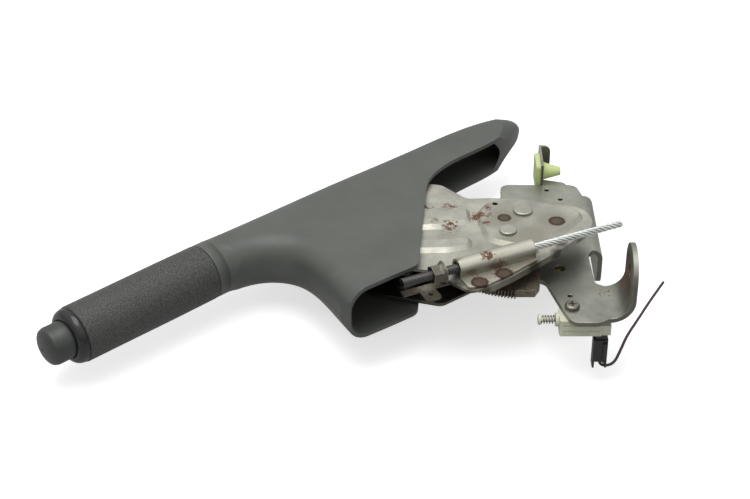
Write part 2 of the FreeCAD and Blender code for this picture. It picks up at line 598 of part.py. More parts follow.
# Lever arm
LEFT_OUTLINE = [
    (-22.0, -4.0, 12), (-14.5, 9.5, 10), (2.0, 27.0, 12), (13.6, 36.5, 7), (14.0, 59.0, 8),
    (22.0, 69.5, 8), (62.0, 90.0, 30), (128.0, 101.3, 20), (158.0, 101.3, 4), (158.0, 90.3, 4),
    (141.0, 88.0, 20), (122.0, 66.0, 30), (104.0, 18.0, 30), (84.5, -8.0, 10), (85.5, -24.0, 8),
    (83.5, -37.0, 5), (73.5, -42.0, 8), (56.0, -43.5, 30), (10.0, -43.5, 40), (-26.0, -39.0, 18), (-34.0, -20.0, 14),
]
PLATEAU_OUTLINE = [
    (-20.5, -4.0, 9), (-12.5, 7.5, 8), (4.0, 25.5, 12), (24.0, 19.0, 10), (40.0, -7.0, 14),
    (31.0, -24.5, 8), (2.0, -33.0, 20), (-27.0, -29.5, 9), (-28.0, -18.0, 8),
]
RIB_OUTLINES = [
    [(20.0, 27.5, 6), (31.5, 14.0, 6), (51.0, 22.5, 20), (86.0, 51.0, 8), (74.0, 66.0, 8), (50.0, 52.0, 20)],
    [(41.0, 4.0, 6), (51.0, -6.5, 6), (64.0, -0.5, 20), (95.0, 26.0, 6), (92.0, 40.0, 6), (55.0, 10.5, 20)],
]
RIGHT_OUTLINE = [
    (-18.0, 4.0, 10), (2.0, 17.0, 14), (24.0, 20.0, 12), (50.0, 30.0, 14), (66.0, 52.0, 12), (76.0, 86.0, 14),
    (128.0, 98.2, 20), (158.0, 98.8, 4), (158.0, 90.3, 4), (141.0, 88.0, 20), (122.0, 66.0, 30),
    (104.0, 18.0, 30), (84.0, -14.2, 6), (66.0, -15.6, 8), (26.0, -18.6, 8), (2.0, -25.0, 12), (-22.0, -16.0, 14),
]


def lever_cheek_left():
    """The lever's outer pressing, with a raised plateau at the pivot, two ribs and a turned rim."""
    outlines = [PLATEAU_OUTLINE] + RIB_OUTLINES
    base = sheet(LEFT_OUTLINE, LEFT_INNER_Y, LEFT_OUTER_Y)
    raised = [pad(outline, LEFT_OUTER_Y, PLATEAU_Y, PLATEAU_SLOPE) for outline in outlines]
    hollows = [shape.translated(vector(0, -CHEEK_THICK, 0)) for shape in raised]
    outer_wire = rounded_wire(LEFT_OUTLINE, LEFT_INNER_Y - RIM_DEPTH)
    inner_wire = outer_wire.makeOffset2D(-CHEEK_THICK)
    rim = Part.Face(outer_wire).cut(Part.Face(inner_wire)).extrude(vector(0, RIM_DEPTH, 0))
    rim_zone = sheet([(-40.0, -14.0, 0), (-40.0, -60.0, 0), (74.0, -60.0, 0), (74.0, -20.0, 0),
                      (60.0, -20.0, 0), (0.0, -30.0, 0)], LEFT_INNER_Y - RIM_DEPTH - 1, LEFT_INNER_Y + 1)
    rim = rim.common(rim_zone)
    cheek = base.multiFuse(raised + rim.Solids).removeSplitter()
    for hollow in hollows:
        cheek = cheek.cut(hollow)
    levels = (0, PLATEAU_Y + 1)
    holes = [post(0, 0, PIVOT_PIN_DIAMETER / 2, *levels), post(STOP_X, STOP_Z, STOP_PIN_DIAMETER / 2, *levels),
             post(7.2, 17.6, 1.8, *levels), post(PAWL_PIVOT_X, PAWL_PIVOT_Z, PAWL_PIN_DIAMETER / 2, *levels)]
    return cheek.cut(Part.makeCompound(holes))


def lever_cheek_right():
    """The lever's inner pressing, behind the bracket plate, whose lower edge works the switch."""
    cheek = sheet(RIGHT_OUTLINE, RIGHT_OUTER_Y, RIGHT_INNER_Y)
    cuts = [
        post(0, 0, PIVOT_PIN_DIAMETER / 2, RIGHT_OUTER_Y - 1, RIGHT_INNER_Y + 1),
        post(STOP_X, STOP_Z, STOP_PIN_DIAMETER / 2, RIGHT_OUTER_Y - 1, RIGHT_INNER_Y + 1),
        post(PAWL_PIVOT_X, PAWL_PIVOT_Z, PAWL_PIN_DIAMETER / 2, RIGHT_OUTER_Y - 1, RIGHT_INNER_Y + 1),
        post(112.0, 66.0, 6.0, RIGHT_OUTER_Y - 1, RIGHT_INNER_Y + 1),
    ]
    return cheek.cut(Part.makeCompound(cuts))


def along_grip(radius, x_low, x_high):
    return Part.makeCylinder(radius, x_high - x_low, vector(x_low, 0, GRIP_AXIS_Z), vector(1, 0, 0))


def lever_tube():
    outer = along_grip(TUBE_DIAMETER / 2, TUBE_START, TUBE_END)
    return outer.cut(along_grip(TUBE_DIAMETER / 2 - TUBE_WALL, TUBE_START - 1, TUBE_END + 1))


def round_edges(solid, x, radius):
    """Fillet the circular edges of a turned piece at one place along the grip."""
    edges = [edge for edge in solid.Edges if abs(edge.BoundBox.XMin - x) < 1e-3
             and edge.BoundBox.XLength < 1e-3]
    return solid.makeFillet(radius, edges)


BUTTON_WELL_DIAMETER = BUTTON_DIAMETER + 2 * BUTTON_CLEARANCE


def grip_sleeve():
    sleeve = along_grip(GRIP_DIAMETER / 2, GRIP_START, GRIP_END)
    sleeve = round_edges(sleeve, GRIP_START, 1.0)
    sleeve = round_edges(sleeve, GRIP_END, 1.0)
    bore = along_grip(TUBE_DIAMETER / 2, GRIP_START - 1, GRIP_END)
    well = along_grip(BUTTON_WELL_DIAMETER / 2, TUBE_END, GRIP_END + 1)
    return sleeve.cut(bore).cut(well)


def grip_collar():
    """The hard ring at the end of the grip that the button slides in."""
    cone = Part.makeCone(GRIP_DIAMETER / 2 - 1.0, COLLAR_FRONT_DIAMETER / 2, COLLAR_LENGTH,
                         vector(GRIP_END, 0, GRIP_AXIS_Z), vector(1, 0, 0))
    cone = round_edges(cone, GRIP_END + COLLAR_LENGTH, 1.2)
    return cone.cut(along_grip(BUTTON_WELL_DIAMETER / 2, GRIP_END - 1, GRIP_END + COLLAR_LENGTH + 1))


def button_cap():
    button = along_grip(BUTTON_DIAMETER / 2, BUTTON_REAR, BUTTON_TIP)
    button = round_edges(button, BUTTON_TIP, BUTTON_DOME)
    inside = along_grip(BUTTON_DIAMETER / 2 - BUTTON_WALL, BUTTON_REAR - 1, BUTTON_TIP - BUTTON_WALL - 1)
    boss = along_grip(ROD_DIAMETER / 2 + 2.0, BUTTON_REAR + 4, BUTTON_TIP - BUTTON_WALL)
    button = button.cut(inside).fuse(boss).removeSplitter()
    return button.cut(along_grip(ROD_DIAMETER / 2, BUTTON_REAR, BUTTON_TIP - 8))


def button_guide():
    """A plastic bush in the end of the tube that steadies the rod and seats the button's spring."""
    flange = along_grip(TUBE_DIAMETER / 2, TUBE_END, TUBE_END + 2.0)
    plug = along_grip(TUBE_DIAMETER / 2 - TUBE_WALL, TUBE_END - 10.0, TUBE_END)
    bore = along_grip(ROD_DIAMETER / 2 + RUNNING_CLEARANCE, TUBE_END - 11.0, TUBE_END + 3.0)
    return flange.fuse(plug).removeSplitter().cut(bore)


def button_spring():
    start = TUBE_END + 2.0 + BUTTON_SPRING_WIRE / 2 + 0.05
    end = BUTTON_REAR + 4 - BUTTON_SPRING_WIRE / 2 - 0.05
    pitch = (end - start) / BUTTON_SPRING_TURNS
    spring = helix_spring(ROD_DIAMETER / 2 + 1.6, BUTTON_SPRING_WIRE, pitch, end - start)
    spring.rotate(vector(0, 0, 0), vector(0, 1, 0), 90)
    spring.translate(vector(start, 0, GRIP_AXIS_Z))
    return spring


PAWL_Y = (PLATE_NEAR_Y + SECTOR_NEAR_Y) / 2


def release_rod():
    """The wire rod from the button down to the pawl, bent twice below the tube."""
    points = [
        vector(BUTTON_TIP - 8, 0, GRIP_AXIS_Z), vector(132.0, 0, GRIP_AXIS_Z),
        vector(ROD_KNEE_X, PAWL_Y, ROD_END_Z), vector(ROD_END_X, PAWL_Y, ROD_END_Z),
    ]
    edges = []
    last = points[0]
    for before, corner, after in zip(points, points[1:], points[2:]):
        back = before - corner
        ahead = after - corner
        half_turn = (math.pi - back.getAngle(ahead)) / 2
        back.normalize()
        ahead.normalize()
        reach = ROD_BEND_RADIUS * math.tan(half_turn)
        towards = back + ahead
        towards.normalize()
        middle = corner + towards * (ROD_BEND_RADIUS / math.cos(half_turn) - ROD_BEND_RADIUS)
        edges.append(Part.LineSegment(last, corner + back * reach).toShape())
        edges.append(Part.Arc(corner + back * reach, middle, corner + ahead * reach).toShape())
        last = corner + ahead * reach
    edges.append(Part.LineSegment(last, points[-1]).toShape())
    profile = Part.Wire(Part.makeCircle(ROD_DIAMETER / 2, points[0], vector(1, 0, 0)))
    return Part.Wire(edges).makePipeShell([profile], True, True)


def pawl():
    """The bell crank whose nose catches the quadrant and whose arm the rod pushes."""
    nose_x, nose_z = polar(SECTOR_TIP_RADIUS + PAWL_TIP_CLEARANCE, PAWL_ANGLE_AT_SECTOR)
    hub = post(PAWL_PIVOT_X, PAWL_PIVOT_Z, PAWL_HUB_DIAMETER / 2, PLATE_NEAR_Y, SECTOR_NEAR_Y)
    nose = sheet([(nose_x, nose_z, 0.2), (nose_x + 2.6, nose_z - 2.4, 0.5),
                  (PAWL_PIVOT_X + 4, PAWL_PIVOT_Z - 5.5, 2), (PAWL_PIVOT_X - 3, PAWL_PIVOT_Z + 6, 2),
                  (nose_x + 5, nose_z + 9, 3)], PLATE_NEAR_Y, SECTOR_NEAR_Y)
    arm_face = ROD_END_X - PAWL_ROD_GAP
    arm = sheet([(PAWL_PIVOT_X - 5.5, PAWL_PIVOT_Z, 1), (PAWL_PIVOT_X + 5.5, PAWL_PIVOT_Z, 1),
                 (arm_face, ROD_END_Z - 12, 2), (arm_face, ROD_END_Z + 5, 2),
                 (arm_face - 7, ROD_END_Z + 5, 3), (arm_face - 9, ROD_END_Z - 14, 4)],
                PLATE_NEAR_Y, SECTOR_NEAR_Y)
    shape = hub.multiFuse([nose, arm]).removeSplitter()
    return shape.cut(post(PAWL_PIVOT_X, PAWL_PIVOT_Z, PAWL_PIN_DIAMETER / 2 + RUNNING_CLEARANCE,
                          PLATE_NEAR_Y - 1, SECTOR_NEAR_Y + 1))


def pawl_pin():
    pin = post(PAWL_PIVOT_X, PAWL_PIVOT_Z, PAWL_PIN_DIAMETER / 2, RIGHT_OUTER_Y, LEFT_OUTER_Y)
    spacer = post(PAWL_PIVOT_X, PAWL_PIVOT_Z, PAWL_PIN_DIAMETER / 2 + 2.5, RIGHT_INNER_Y, PLATE_NEAR_Y - 0.3)
    return pin.fuse(spacer).removeSplitter()


def pawl_spring():
    """A torsion spring round the pawl's pin, between the pawl and the outer pressing."""
    spring = helix_spring(PAWL_PIN_DIAMETER / 2 + 0.9, 0.9, 1.8, 5.4)
    spring.rotate(vector(0, 0, 0), vector(1, 0, 0), -90)
    spring.translate(vector(PAWL_PIVOT_X, SECTOR_NEAR_Y + 1.2, PAWL_PIVOT_Z))
    return spring


def pivot_bush():
    bush = post(0, 0, BUSH_DIAMETER / 2, RIGHT_INNER_Y, LEFT_OUTER_Y + PLATEAU_RISE - CHEEK_THICK)
    return bush.cut(post(0, 0, PIVOT_PIN_DIAMETER / 2, RIGHT_INNER_Y - 1, PLATEAU_Y))


def through_rivet(x, z, shank, head, y_end):
    """A rivet with a low head on the plateau and a formed end behind the inner pressing."""
    bar = post(x, z, shank / 2, y_end, PLATEAU_Y)
    tail = post(x, z, head / 2, y_end - RIVET_HEAD_HEIGHT, y_end)
    return bar.multiFuse([domed_head(x, z, head, PLATEAU_Y, RIVET_HEAD_HEIGHT), tail]).removeSplitter()


# Cable run: u is measured along the run from the nut's seat, forward positive
def run_point(u, y=RUN_Y):
    tilt = math.radians(RUN_TILT)
    return vector(RUN_X + u * math.cos(tilt), y, RUN_Z + u * math.sin(tilt))


RUN_AXIS = run_point(1) - run_point(0)


def run_bar(radius, u_low, u_high):
    return Part.makeCylinder(radius, u_high - u_low, run_point(u_low), RUN_AXIS)


def run_block(u_low, u_high, y_low, y_high, side_low, side_high):
    """A block in line with the run; side is measured square to it, up in the lever's plane."""
    shape = block(u_low, u_high, y_low, y_high, side_low, side_high)
    shape.rotate(vector(0, 0, 0), vector(0, -1, 0), RUN_TILT)
    shape.translate(vector(RUN_X, 0, RUN_Z))
    return shape


def adjuster_rod():
    """The threaded stud with the ferrule swaged on the cable's end."""
    stud = run_bar(THREAD_DIAMETER / 2, FERRULE_START, THREAD_TIP)
    ferrule = run_bar(FERRULE_DIAMETER / 2, FERRULE_END, FERRULE_START)
    tip = [edge for edge in stud.Edges if edge.BoundBox.Center.distanceToPoint(run_point(THREAD_TIP)) < 0.5]
    stud = stud.makeChamfer(0.8, tip[:1])
    rod = stud.fuse(ferrule).removeSplitter()
    return rod.cut(run_bar(CABLE_DIAMETER / 2, FERRULE_END - 1, FERRULE_END + 14))


def brake_cable():
    return run_bar(CABLE_DIAMETER / 2, CABLE_TIP, FERRULE_END + 14)


def adjuster_nut():
    """A flanged hexagon nut on the stud."""
    across = NUT_FLATS / math.sqrt(3)
    corners = [vector(0, *polar(across, 60 * k)) for k in range(7)]
    hexagon = Part.Face(Part.makePolygon(corners)).extrude(vector(NUT_HEIGHT, 0, 0))
    flange = Part.makeCone(NUT_FLANGE_DIAMETER / 2, NUT_FLATS / 2, NUT_FLANGE_THICK + 1.2,
                           vector(0, 0, 0), vector(1, 0, 0))
    nut = hexagon.fuse(flange).removeSplitter()
    bore = Part.makeCylinder(THREAD_DIAMETER / 2 + RUNNING_CLEARANCE, NUT_HEIGHT + 2, vector(-1, 0, 0),
                             vector(1, 0, 0))
    nut = nut.cut(bore)
    nut.rotate(vector(0, 0, 0), vector(0, -1, 0), RUN_TILT)
    nut.translate(run_point(-NUT_HEIGHT / 2))
    return nut


def cable_guide():
    """A hat-section trough, spot-welded beside the plateau, that the ferrule slides in."""
    inner = FERRULE_DIAMETER / 2 + GUIDE_CLEARANCE
    outer = inner + GUIDE_WALL
    base_y = LEFT_OUTER_Y
    tube = run_bar(outer, GUIDE_END, GUIDE_START)
    walls = run_block(GUIDE_END, GUIDE_START, base_y, RUN_Y, -outer, outer)
    flange = run_block(GUIDE_END, GUIDE_START, base_y, base_y + GUIDE_WALL, -GUIDE_FLANGE, 0)
    body = tube.multiFuse([walls, flange]).removeSplitter()
    body = body.common(run_block(GUIDE_END, GUIDE_START, base_y, RUN_Y + outer + 1, -GUIDE_FLANGE, outer + 1))
    hollow = run_bar(inner, GUIDE_END - 1, GUIDE_START + 1)
    channel = run_block(GUIDE_END - 1, GUIDE_START + 1, base_y - 1, RUN_Y, -inner, inner)
    body = body.cut(hollow).cut(channel)
    outline = rounded_wire(LEFT_OUTLINE, base_y - 1).makeOffset2D(-1.0)
    return body.common(Part.Face(outline).extrude(vector(0, 20, 0)))


def rod_clip():
    """A thin strip below the stud, welded to the pressing, with a small drilled tab."""
    levels = (CLIP_OUTER_Y - CLIP_THICK, CLIP_OUTER_Y)
    strip = run_block(CLIP_START, CLIP_END, *levels, 0.0, CLIP_WIDTH)
    riser = run_block(CLIP_START, CLIP_START + CLIP_WIDTH, CLIP_OUTER_Y, LEFT_INNER_Y, 0.0, CLIP_WIDTH)
    tab = run_block(CLIP_TAB_START, CLIP_TAB_END, *levels, -CLIP_TAB_DROP, 0.0)
    corners = [edge for edge in tab.Edges if edge.BoundBox.YLength > 1 and edge.BoundBox.ZMax < run_point(0).z - 6]
    tab = tab.makeFillet(3.0, corners)
    clip = strip.multiFuse([riser, tab]).removeSplitter()
    middle = run_point((CLIP_TAB_START + CLIP_TAB_END) / 2) + vector(RUN_AXIS.z, 0, -RUN_AXIS.x) * CLIP_TAB_DROP * 0.45
    hole = post(middle.x, middle.z, SMALL_HOLE_DIAMETER / 2, levels[0] - 1, levels[1] + 1)
    return clip.cut(hole)


# Moulded cover
def spline(points, y=0.0):
    curve = Part.BSplineCurve()
    curve.interpolate([vector(x, y, z) for x, z in points])
    return curve.toShape()


def line(start, end):
    return Part.LineSegment(start, end).toShape()


def cover_crown(inset):
    """The cover's top and sides: round-topped sections, joined smoothly along the handle."""
    wires = []
    for x, half_width, top in COVER_SECTIONS:
        half = half_width - inset
        spring_z = top - half_width
        left = vector(x, -half, spring_z)
        right = vector(x, half, spring_z)
        low_left = vector(x, -half, -80)
        low_right = vector(x, half, -80)
        arc = Part.Arc(left, vector(x, 0, spring_z + half), right).toShape()
        wires.append(Part.Wire([line(low_left, left), arc, line(right, low_right), line(low_right, low_left)]))
    return Part.makeLoft(wires, True, False)


def cover_side(inset):
    """The cover seen from the side. The outer form ends at the open edge, the inner one runs past it."""
    front_points = [(x - inset * (z < 74), z + inset * (z > 70)) for x, z in COVER_FRONT]
    front = spline(front_points)
    neck = vector(front_points[0][0], 0, front_points[0][1])
    lip = vector(front_points[-1][0], 0, front_points[-1][1])
    high_front = vector(neck.x, 0, 130)
    high_back = vector(COVER_BACK + inset, 0, 130)
    edges = [front, line(neck, high_front), line(high_front, high_back)]
    if inset:
        low_back = vector(high_back.x, 0, -30)
        low_lip = vector(lip.x, 0, -30)
        edges += [line(high_back, low_back), line(low_back, low_lip), line(low_lip, lip)]
    else:
        edge_start = vector(COVER_EDGE[0][0], 0, COVER_EDGE[0][1])
        edge_end = vector(COVER_EDGE[-1][0], 0, COVER_EDGE[-1][1])
        corner = [vector(x, 0, z) for x, z in COVER_EDGE_CORNER]
        edges += [line(high_back, edge_start), spline(COVER_EDGE), line(edge_end, corner[0]),
                  Part.Arc(*corner).toShape(), line(corner[2], lip)]
    outline = Part.Wire(Part.__sortEdges__(edges))
    solid = Part.Face(outline).extrude(vector(0, 60, 0))
    solid.translate(vector(0, -30, 0))
    return solid


def turned_limit(profile, axis_z):
    """A body turned about a line along x, through places and radii."""
    points = [vector(x, 0, axis_z + radius) for x, radius in profile]
    first = vector(points[0].x, 0, axis_z)
    last = vector(points[-1].x, 0, axis_z)
    curve = Part.BSplineCurve()
    curve.interpolate(points)
    wire = Part.Wire([curve.toShape(), line(points[-1], last), line(last, first), line(first, points[0])])
    return Part.Face(wire).revolve(vector(0, 0, axis_z), vector(1, 0, 0), 360)


def cover_form(inset):
    """The cover's outer form, or the inner one when an inset is given."""
    form = cover_crown(inset).common(cover_side(inset))
    front = []
    for edge in form.Edges:
        middle = edge.valueAt((edge.FirstParameter + edge.LastParameter) / 2)
        if abs(middle.y) > 8 and edge.BoundBox.ZLength > 50 and middle.x > 125 and 0 < middle.z < 90:
            front.append(edge)
    form = form.makeFillet(COVER_FRONT_RADIUS - inset, front)
    neck = turned_limit([(x, radius - inset) for x, radius in COVER_NECK_BLEND], GRIP_AXIS_Z)
    behind_neck = block(-100, COVER_NECK_BLEND[-1][0] + 1, -30, 30, -90, 140)
    form = form.common(neck.fuse(behind_neck).removeSplitter())
    form.fix(1e-4, 1e-4, 1e-4)
    nose = turned_limit([(x + inset, max(radius - inset, 0.3)) for x, radius in COVER_NOSE_BLEND], COVER_NOSE_Z)
    before_nose = block(COVER_NOSE_BLEND[0][0] + inset - 1, 180, -30, 30, -90, 140)
    return form.common(nose.fuse(before_nose))


def trim_cover():
    """The moulded cover: a hollow crown over the lever with a skirt in front, open below."""
    outer = cover_form(0.0)
    shell = outer.cut(cover_form(COVER_WALL))
    bulkhead = outer.common(block(COVER_START - COVER_NECK_RING, COVER_START - 2, -30, 30, 60, 130))
    bulkhead = bulkhead.cut(along_grip(TUBE_DIAMETER / 2, 100, COVER_START + 1))
    return shell.fuse(bulkhead).removeSplitter()


def build():
    keep("bracket_plate", bracket_plate())
    keep("ratchet_sector", ratchet_sector())
    keep("sector_rivets", sector_rivets())
    keep("weld_nut", weld_nut())
    keep("console_tab", console_tab())
    keep("console_grommet", console_grommet())
    keep("switch_body", switch_body())
    keep("terminal_blades", terminal_blades())
    keep("switch_screw", switch_screw())
    keep("switch_plunger", switch_plunger())
    keep("switch_spring", switch_spring())
    keep("wire_plug", wire_plug())
    keep("switch_wire", cord_tube(WIRE_ROUTE, WIRE_DIAMETER))
    keep("lever_cheek_left", lever_cheek_left(), True)
    keep("lever_cheek_right", lever_cheek_right(), True)
    keep("lever_tube", lever_tube(), True)
    keep("grip_sleeve", grip_sleeve(), True)
    keep("grip_collar", grip_collar(), True)
    keep("trim_cover", trim_cover(), True)
    keep("button_cap", button_cap(), True)
    keep("button_guide", button_guide(), True)
    keep("button_spring", button_spring(), True)
    keep("release_rod", release_rod(), True)
    keep("pawl", pawl(), True)
    keep("pawl_pin", pawl_pin(), True)
    keep("pawl_spring", pawl_spring(), True)
    keep("pivot_bush", pivot_bush(), True)
    keep("pivot_rivet", through_rivet(0, 0, PIVOT_PIN_DIAMETER, PIVOT_HEAD_DIAMETER, RIGHT_OUTER_Y), True)
    keep("stop_rivet", through_rivet(STOP_X, STOP_Z, STOP_PIN_DIAMETER, STOP_HEAD_DIAMETER, RIGHT_OUTER_Y), True)
    keep("adjuster_rod", adjuster_rod(), True)
    keep("brake_cable", brake_cable(), True)
    keep("adjuster_nut", adjuster_nut(), True)
    keep("cable_guide", cable_guide(), True)
    keep("rod_clip", rod_clip(), True)


build()
os.makedirs("parts", exist_ok=True)
for name, shape in parts.items():
    if not shape.isValid():
        print("not valid:", name)
    shape.exportStep("parts/" + name + ".step")
    print(name, len(shape.Solids), round(shape.Volume, 1))
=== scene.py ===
# %% [markdown]
# # Dressing a handbrake lever
# The model arrives as solid pieces with plain surfaces: a pulled-up lever with a leather-grained grip,
# a moulded cover, plated pressings, a wire cable and a small switch. Here each piece gets its finish,
# and the few pieces whose real shape is too fine for the solids are modelled again: the screw thread,
# the twisted cable and the thin switch lead. Everything is in metres, with +Z up from the car's floor.

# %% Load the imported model
import math

import bmesh
import bpy
from mathutils import Matrix, Vector


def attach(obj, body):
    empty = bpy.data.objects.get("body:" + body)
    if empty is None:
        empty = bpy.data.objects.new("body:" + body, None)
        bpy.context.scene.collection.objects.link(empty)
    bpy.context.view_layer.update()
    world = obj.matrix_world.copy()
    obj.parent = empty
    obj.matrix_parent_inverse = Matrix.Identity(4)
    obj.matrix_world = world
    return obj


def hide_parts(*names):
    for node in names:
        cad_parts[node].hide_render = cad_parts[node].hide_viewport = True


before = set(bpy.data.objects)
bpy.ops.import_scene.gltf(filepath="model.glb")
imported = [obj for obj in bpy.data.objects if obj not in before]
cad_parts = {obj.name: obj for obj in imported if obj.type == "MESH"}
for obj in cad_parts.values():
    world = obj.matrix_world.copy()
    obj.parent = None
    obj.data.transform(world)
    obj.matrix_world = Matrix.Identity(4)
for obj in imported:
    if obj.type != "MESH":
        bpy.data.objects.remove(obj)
bpy.context.view_layer.update()

# %% [markdown]
# The solids are drawn round the lever's pivot, and the lever's own pieces in the lever's plane, with x
# running up the handle. Two small helpers take a place in millimetres from either of these to the
# model's frame, so that every patch of rust and every added piece can be put where it belongs.

# %% Places on the bracket and on the lever
PIVOT = Vector((-0.070, -0.015, 0.0615))
PULL = math.radians(47.7)


def at(x, y, z):
    """A place given in millimetres from the pivot, along the car's axes."""
    return PIVOT + Vector((x, y, z)) / 1000


def on_lever(x, z, y):
    """A place given in millimetres in the lever's plane, y being the level across it."""
    return at(x * math.cos(PULL) - z * math.sin(PULL), y, x * math.sin(PULL) + z * math.cos(PULL))


HANDLE = (on_lever(1, 0, 0) - on_lever(0, 0, 0)).normalized()
print("handle points along", [round(v, 3) for v in HANDLE])

# %% [markdown]
# The lever was photographed lying on its side, from above the table at 34 degrees. In the model's frame
# that table stands upright on the -Y side, so the camera looks from the front left and is rolled until
# the car's "down" points to the right of the picture. A camera's own axes are the columns of its
# matrix: right, up and backwards, which is plainer here than three turning angles.

# %% Camera
TABLE_TILT = math.radians(34)
camera_data = bpy.data.cameras.new("camera")
camera_data.sensor_width = 36.0
camera_data.lens = 85.15
camera = bpy.data.objects.new("camera", camera_data)
bpy.context.collection.objects.link(camera)
image_right = Vector((0, 0, -1))
image_up = Vector((-math.sin(TABLE_TILT), math.cos(TABLE_TILT), 0))
towards_viewer = Vector((math.cos(TABLE_TILT), math.sin(TABLE_TILT), 0))
aim = Vector((-0.0449, -0.015, 0.1544))
turn = Matrix((image_right, image_up, towards_viewer)).transposed()
camera.matrix_world = Matrix.Translation(aim + 1.1 * towards_viewer) @ turn.to_4x4()
bpy.context.scene.camera = camera
bpy.context.scene.view_settings.view_transform = "Standard"

# %% [markdown]
# The lead from the lamp switch is a soft, thin wire that was cut off. It is one smooth spline through
# the air beside the bracket, close to its solid's route, with a round bevel for its thickness. The bevel
# is one metre deep and each point scales it down to the wire's radius, so that the curve's box is true.

# %% Switch lead
LEAD_DIAMETER = 0.0018
lead_route = [
    at(80.5, -42.0, -43.0), at(79.8, -46.5, -43.4), at(80.6, -48.2, -47.0), at(77.0, -48.8, -53.2),
    at(64.5, -49.2, -58.3), at(49.0, -48.8, -64.3), at(32.5, -48.4, -73.2), at(12.0, -48.4, -83.5),
    at(-8.5, -48.4, -94.8),
]
lead_curve = bpy.data.curves.new("lead", "CURVE")
lead_curve.dimensions = "3D"
lead_curve.bevel_depth = 1.0
lead_curve.bevel_resolution = 3
lead_curve.use_fill_caps = True
lead_spline = lead_curve.splines.new("NURBS")
lead_spline.points.add(len(lead_route) - 1)
for control, place in zip(lead_spline.points, lead_route):
    control.co = (*place, 1.0)
    control.radius = LEAD_DIAMETER / 2
lead_spline.order_u = 3
lead_spline.use_endpoint_u = True
lead_spline.resolution_u = 8
lead = bpy.data.objects.new("switch_lead", lead_curve)
bpy.context.collection.objects.link(lead)
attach(lead, "bracket")
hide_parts("switch_wire")

# %% [markdown]
# The brake cable is steel rope: six strands laid round a core. One strand's round section is spun about
# the cable's axis while it also moves along it, which is how a spin makes a helix. The cable is
# straight, because the short stub that is left is too stiff to bend.

# %% Brake cable
RUN_ANGLE = PULL + math.radians(17)
RUN = Vector((math.cos(RUN_ANGLE), 0, math.sin(RUN_ANGLE)))


def on_run(along):
    """A place on the cable's line, in millimetres forward of the adjuster nut."""
    return on_lever(91.0, -16.8, 15.5) + RUN * along / 1000


CABLE_RADIUS = 0.0023
STRAND_RADIUS = 0.00082
LAY_LENGTH = 0.021
cable_start = on_run(-58.0)
cable_end = on_run(-127.0)
cable_length = (cable_end - cable_start).length


def ring(bm, centre, normal, radius, sides):
    """A ring of edges round a centre, facing along normal."""
    facing = normal.to_track_quat("Z", "Y").to_matrix().to_4x4()
    made = bmesh.ops.create_circle(bm, segments=sides, radius=radius,
                                   matrix=Matrix.Translation(centre) @ facing)
    return list({edge for vert in made["verts"] for edge in vert.link_edges})


def edges_in(parts):
    """The edges among the parts that an operator gives back."""
    return [part for part in parts if isinstance(part, bmesh.types.BMEdge)]


def verts_in(parts):
    """The vertices among the parts that an operator gives back."""
    return [part for part in parts if isinstance(part, bmesh.types.BMVert)]


def piece_from(bm, name, body):
    """Turn a bmesh into a smooth piece that rides on a body."""
    mesh = bpy.data.meshes.new(name)
    bm.to_mesh(mesh)
    bm.free()
    for face in mesh.polygons:
        face.use_smooth = True
    piece = bpy.data.objects.new(name, mesh)
    bpy.context.collection.objects.link(piece)
    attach(piece, body)
    return piece


cable_mesh = bmesh.new()
backwards = -RUN
aside = Vector((0, 1, 0))
turns = cable_length / LAY_LENGTH
steps = 90
lay_slope = 2 * math.pi * (CABLE_RADIUS - STRAND_RADIUS) / LAY_LENGTH
for strand in range(6):
    out = Matrix.Rotation(strand * math.tau / 6, 3, backwards) @ aside
    sideways = backwards.cross(out)
    section = ring(cable_mesh, cable_start + out * (CABLE_RADIUS - STRAND_RADIUS),
                   (backwards + sideways * lay_slope).normalized(), STRAND_RADIUS, 10)
    bmesh.ops.holes_fill(cable_mesh, edges=section, sides=0)
    last = bmesh.ops.spin(cable_mesh, geom=section, cent=cable_start, axis=backwards,
                          dvec=backwards * cable_length / steps, angle=turns * math.tau, steps=steps)
    bmesh.ops.holes_fill(cable_mesh, edges=edges_in(last["geom_last"]), sides=0)
core_edges = ring(cable_mesh, cable_start, backwards, CABLE_RADIUS - 1.4 * STRAND_RADIUS, 12)
bmesh.ops.holes_fill(cable_mesh, edges=core_edges, sides=0)
pulled = bmesh.ops.extrude_edge_only(cable_mesh, edges=core_edges)["geom"]
bmesh.ops.translate(cable_mesh, verts=verts_in(pulled), vec=backwards * cable_length)
bmesh.ops.holes_fill(cable_mesh, edges=edges_in(pulled), sides=0)
bmesh.ops.recalc_face_normals(cable_mesh, faces=cable_mesh.faces)
cable = piece_from(cable_mesh, "cable_strands", "rod")
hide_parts("brake_cable")
print("cable turns", round(turns, 1))

# %% [markdown]
# The adjuster's stud has a real 6 mm thread with a 1 mm pitch. A V-shaped profile, one pitch long, is
# spun about the stud's axis and moved one pitch forward each turn, so each turn's end meets the next
# one's start. The thread stands on a plain core, and the ferrule behind it has crimped rings.

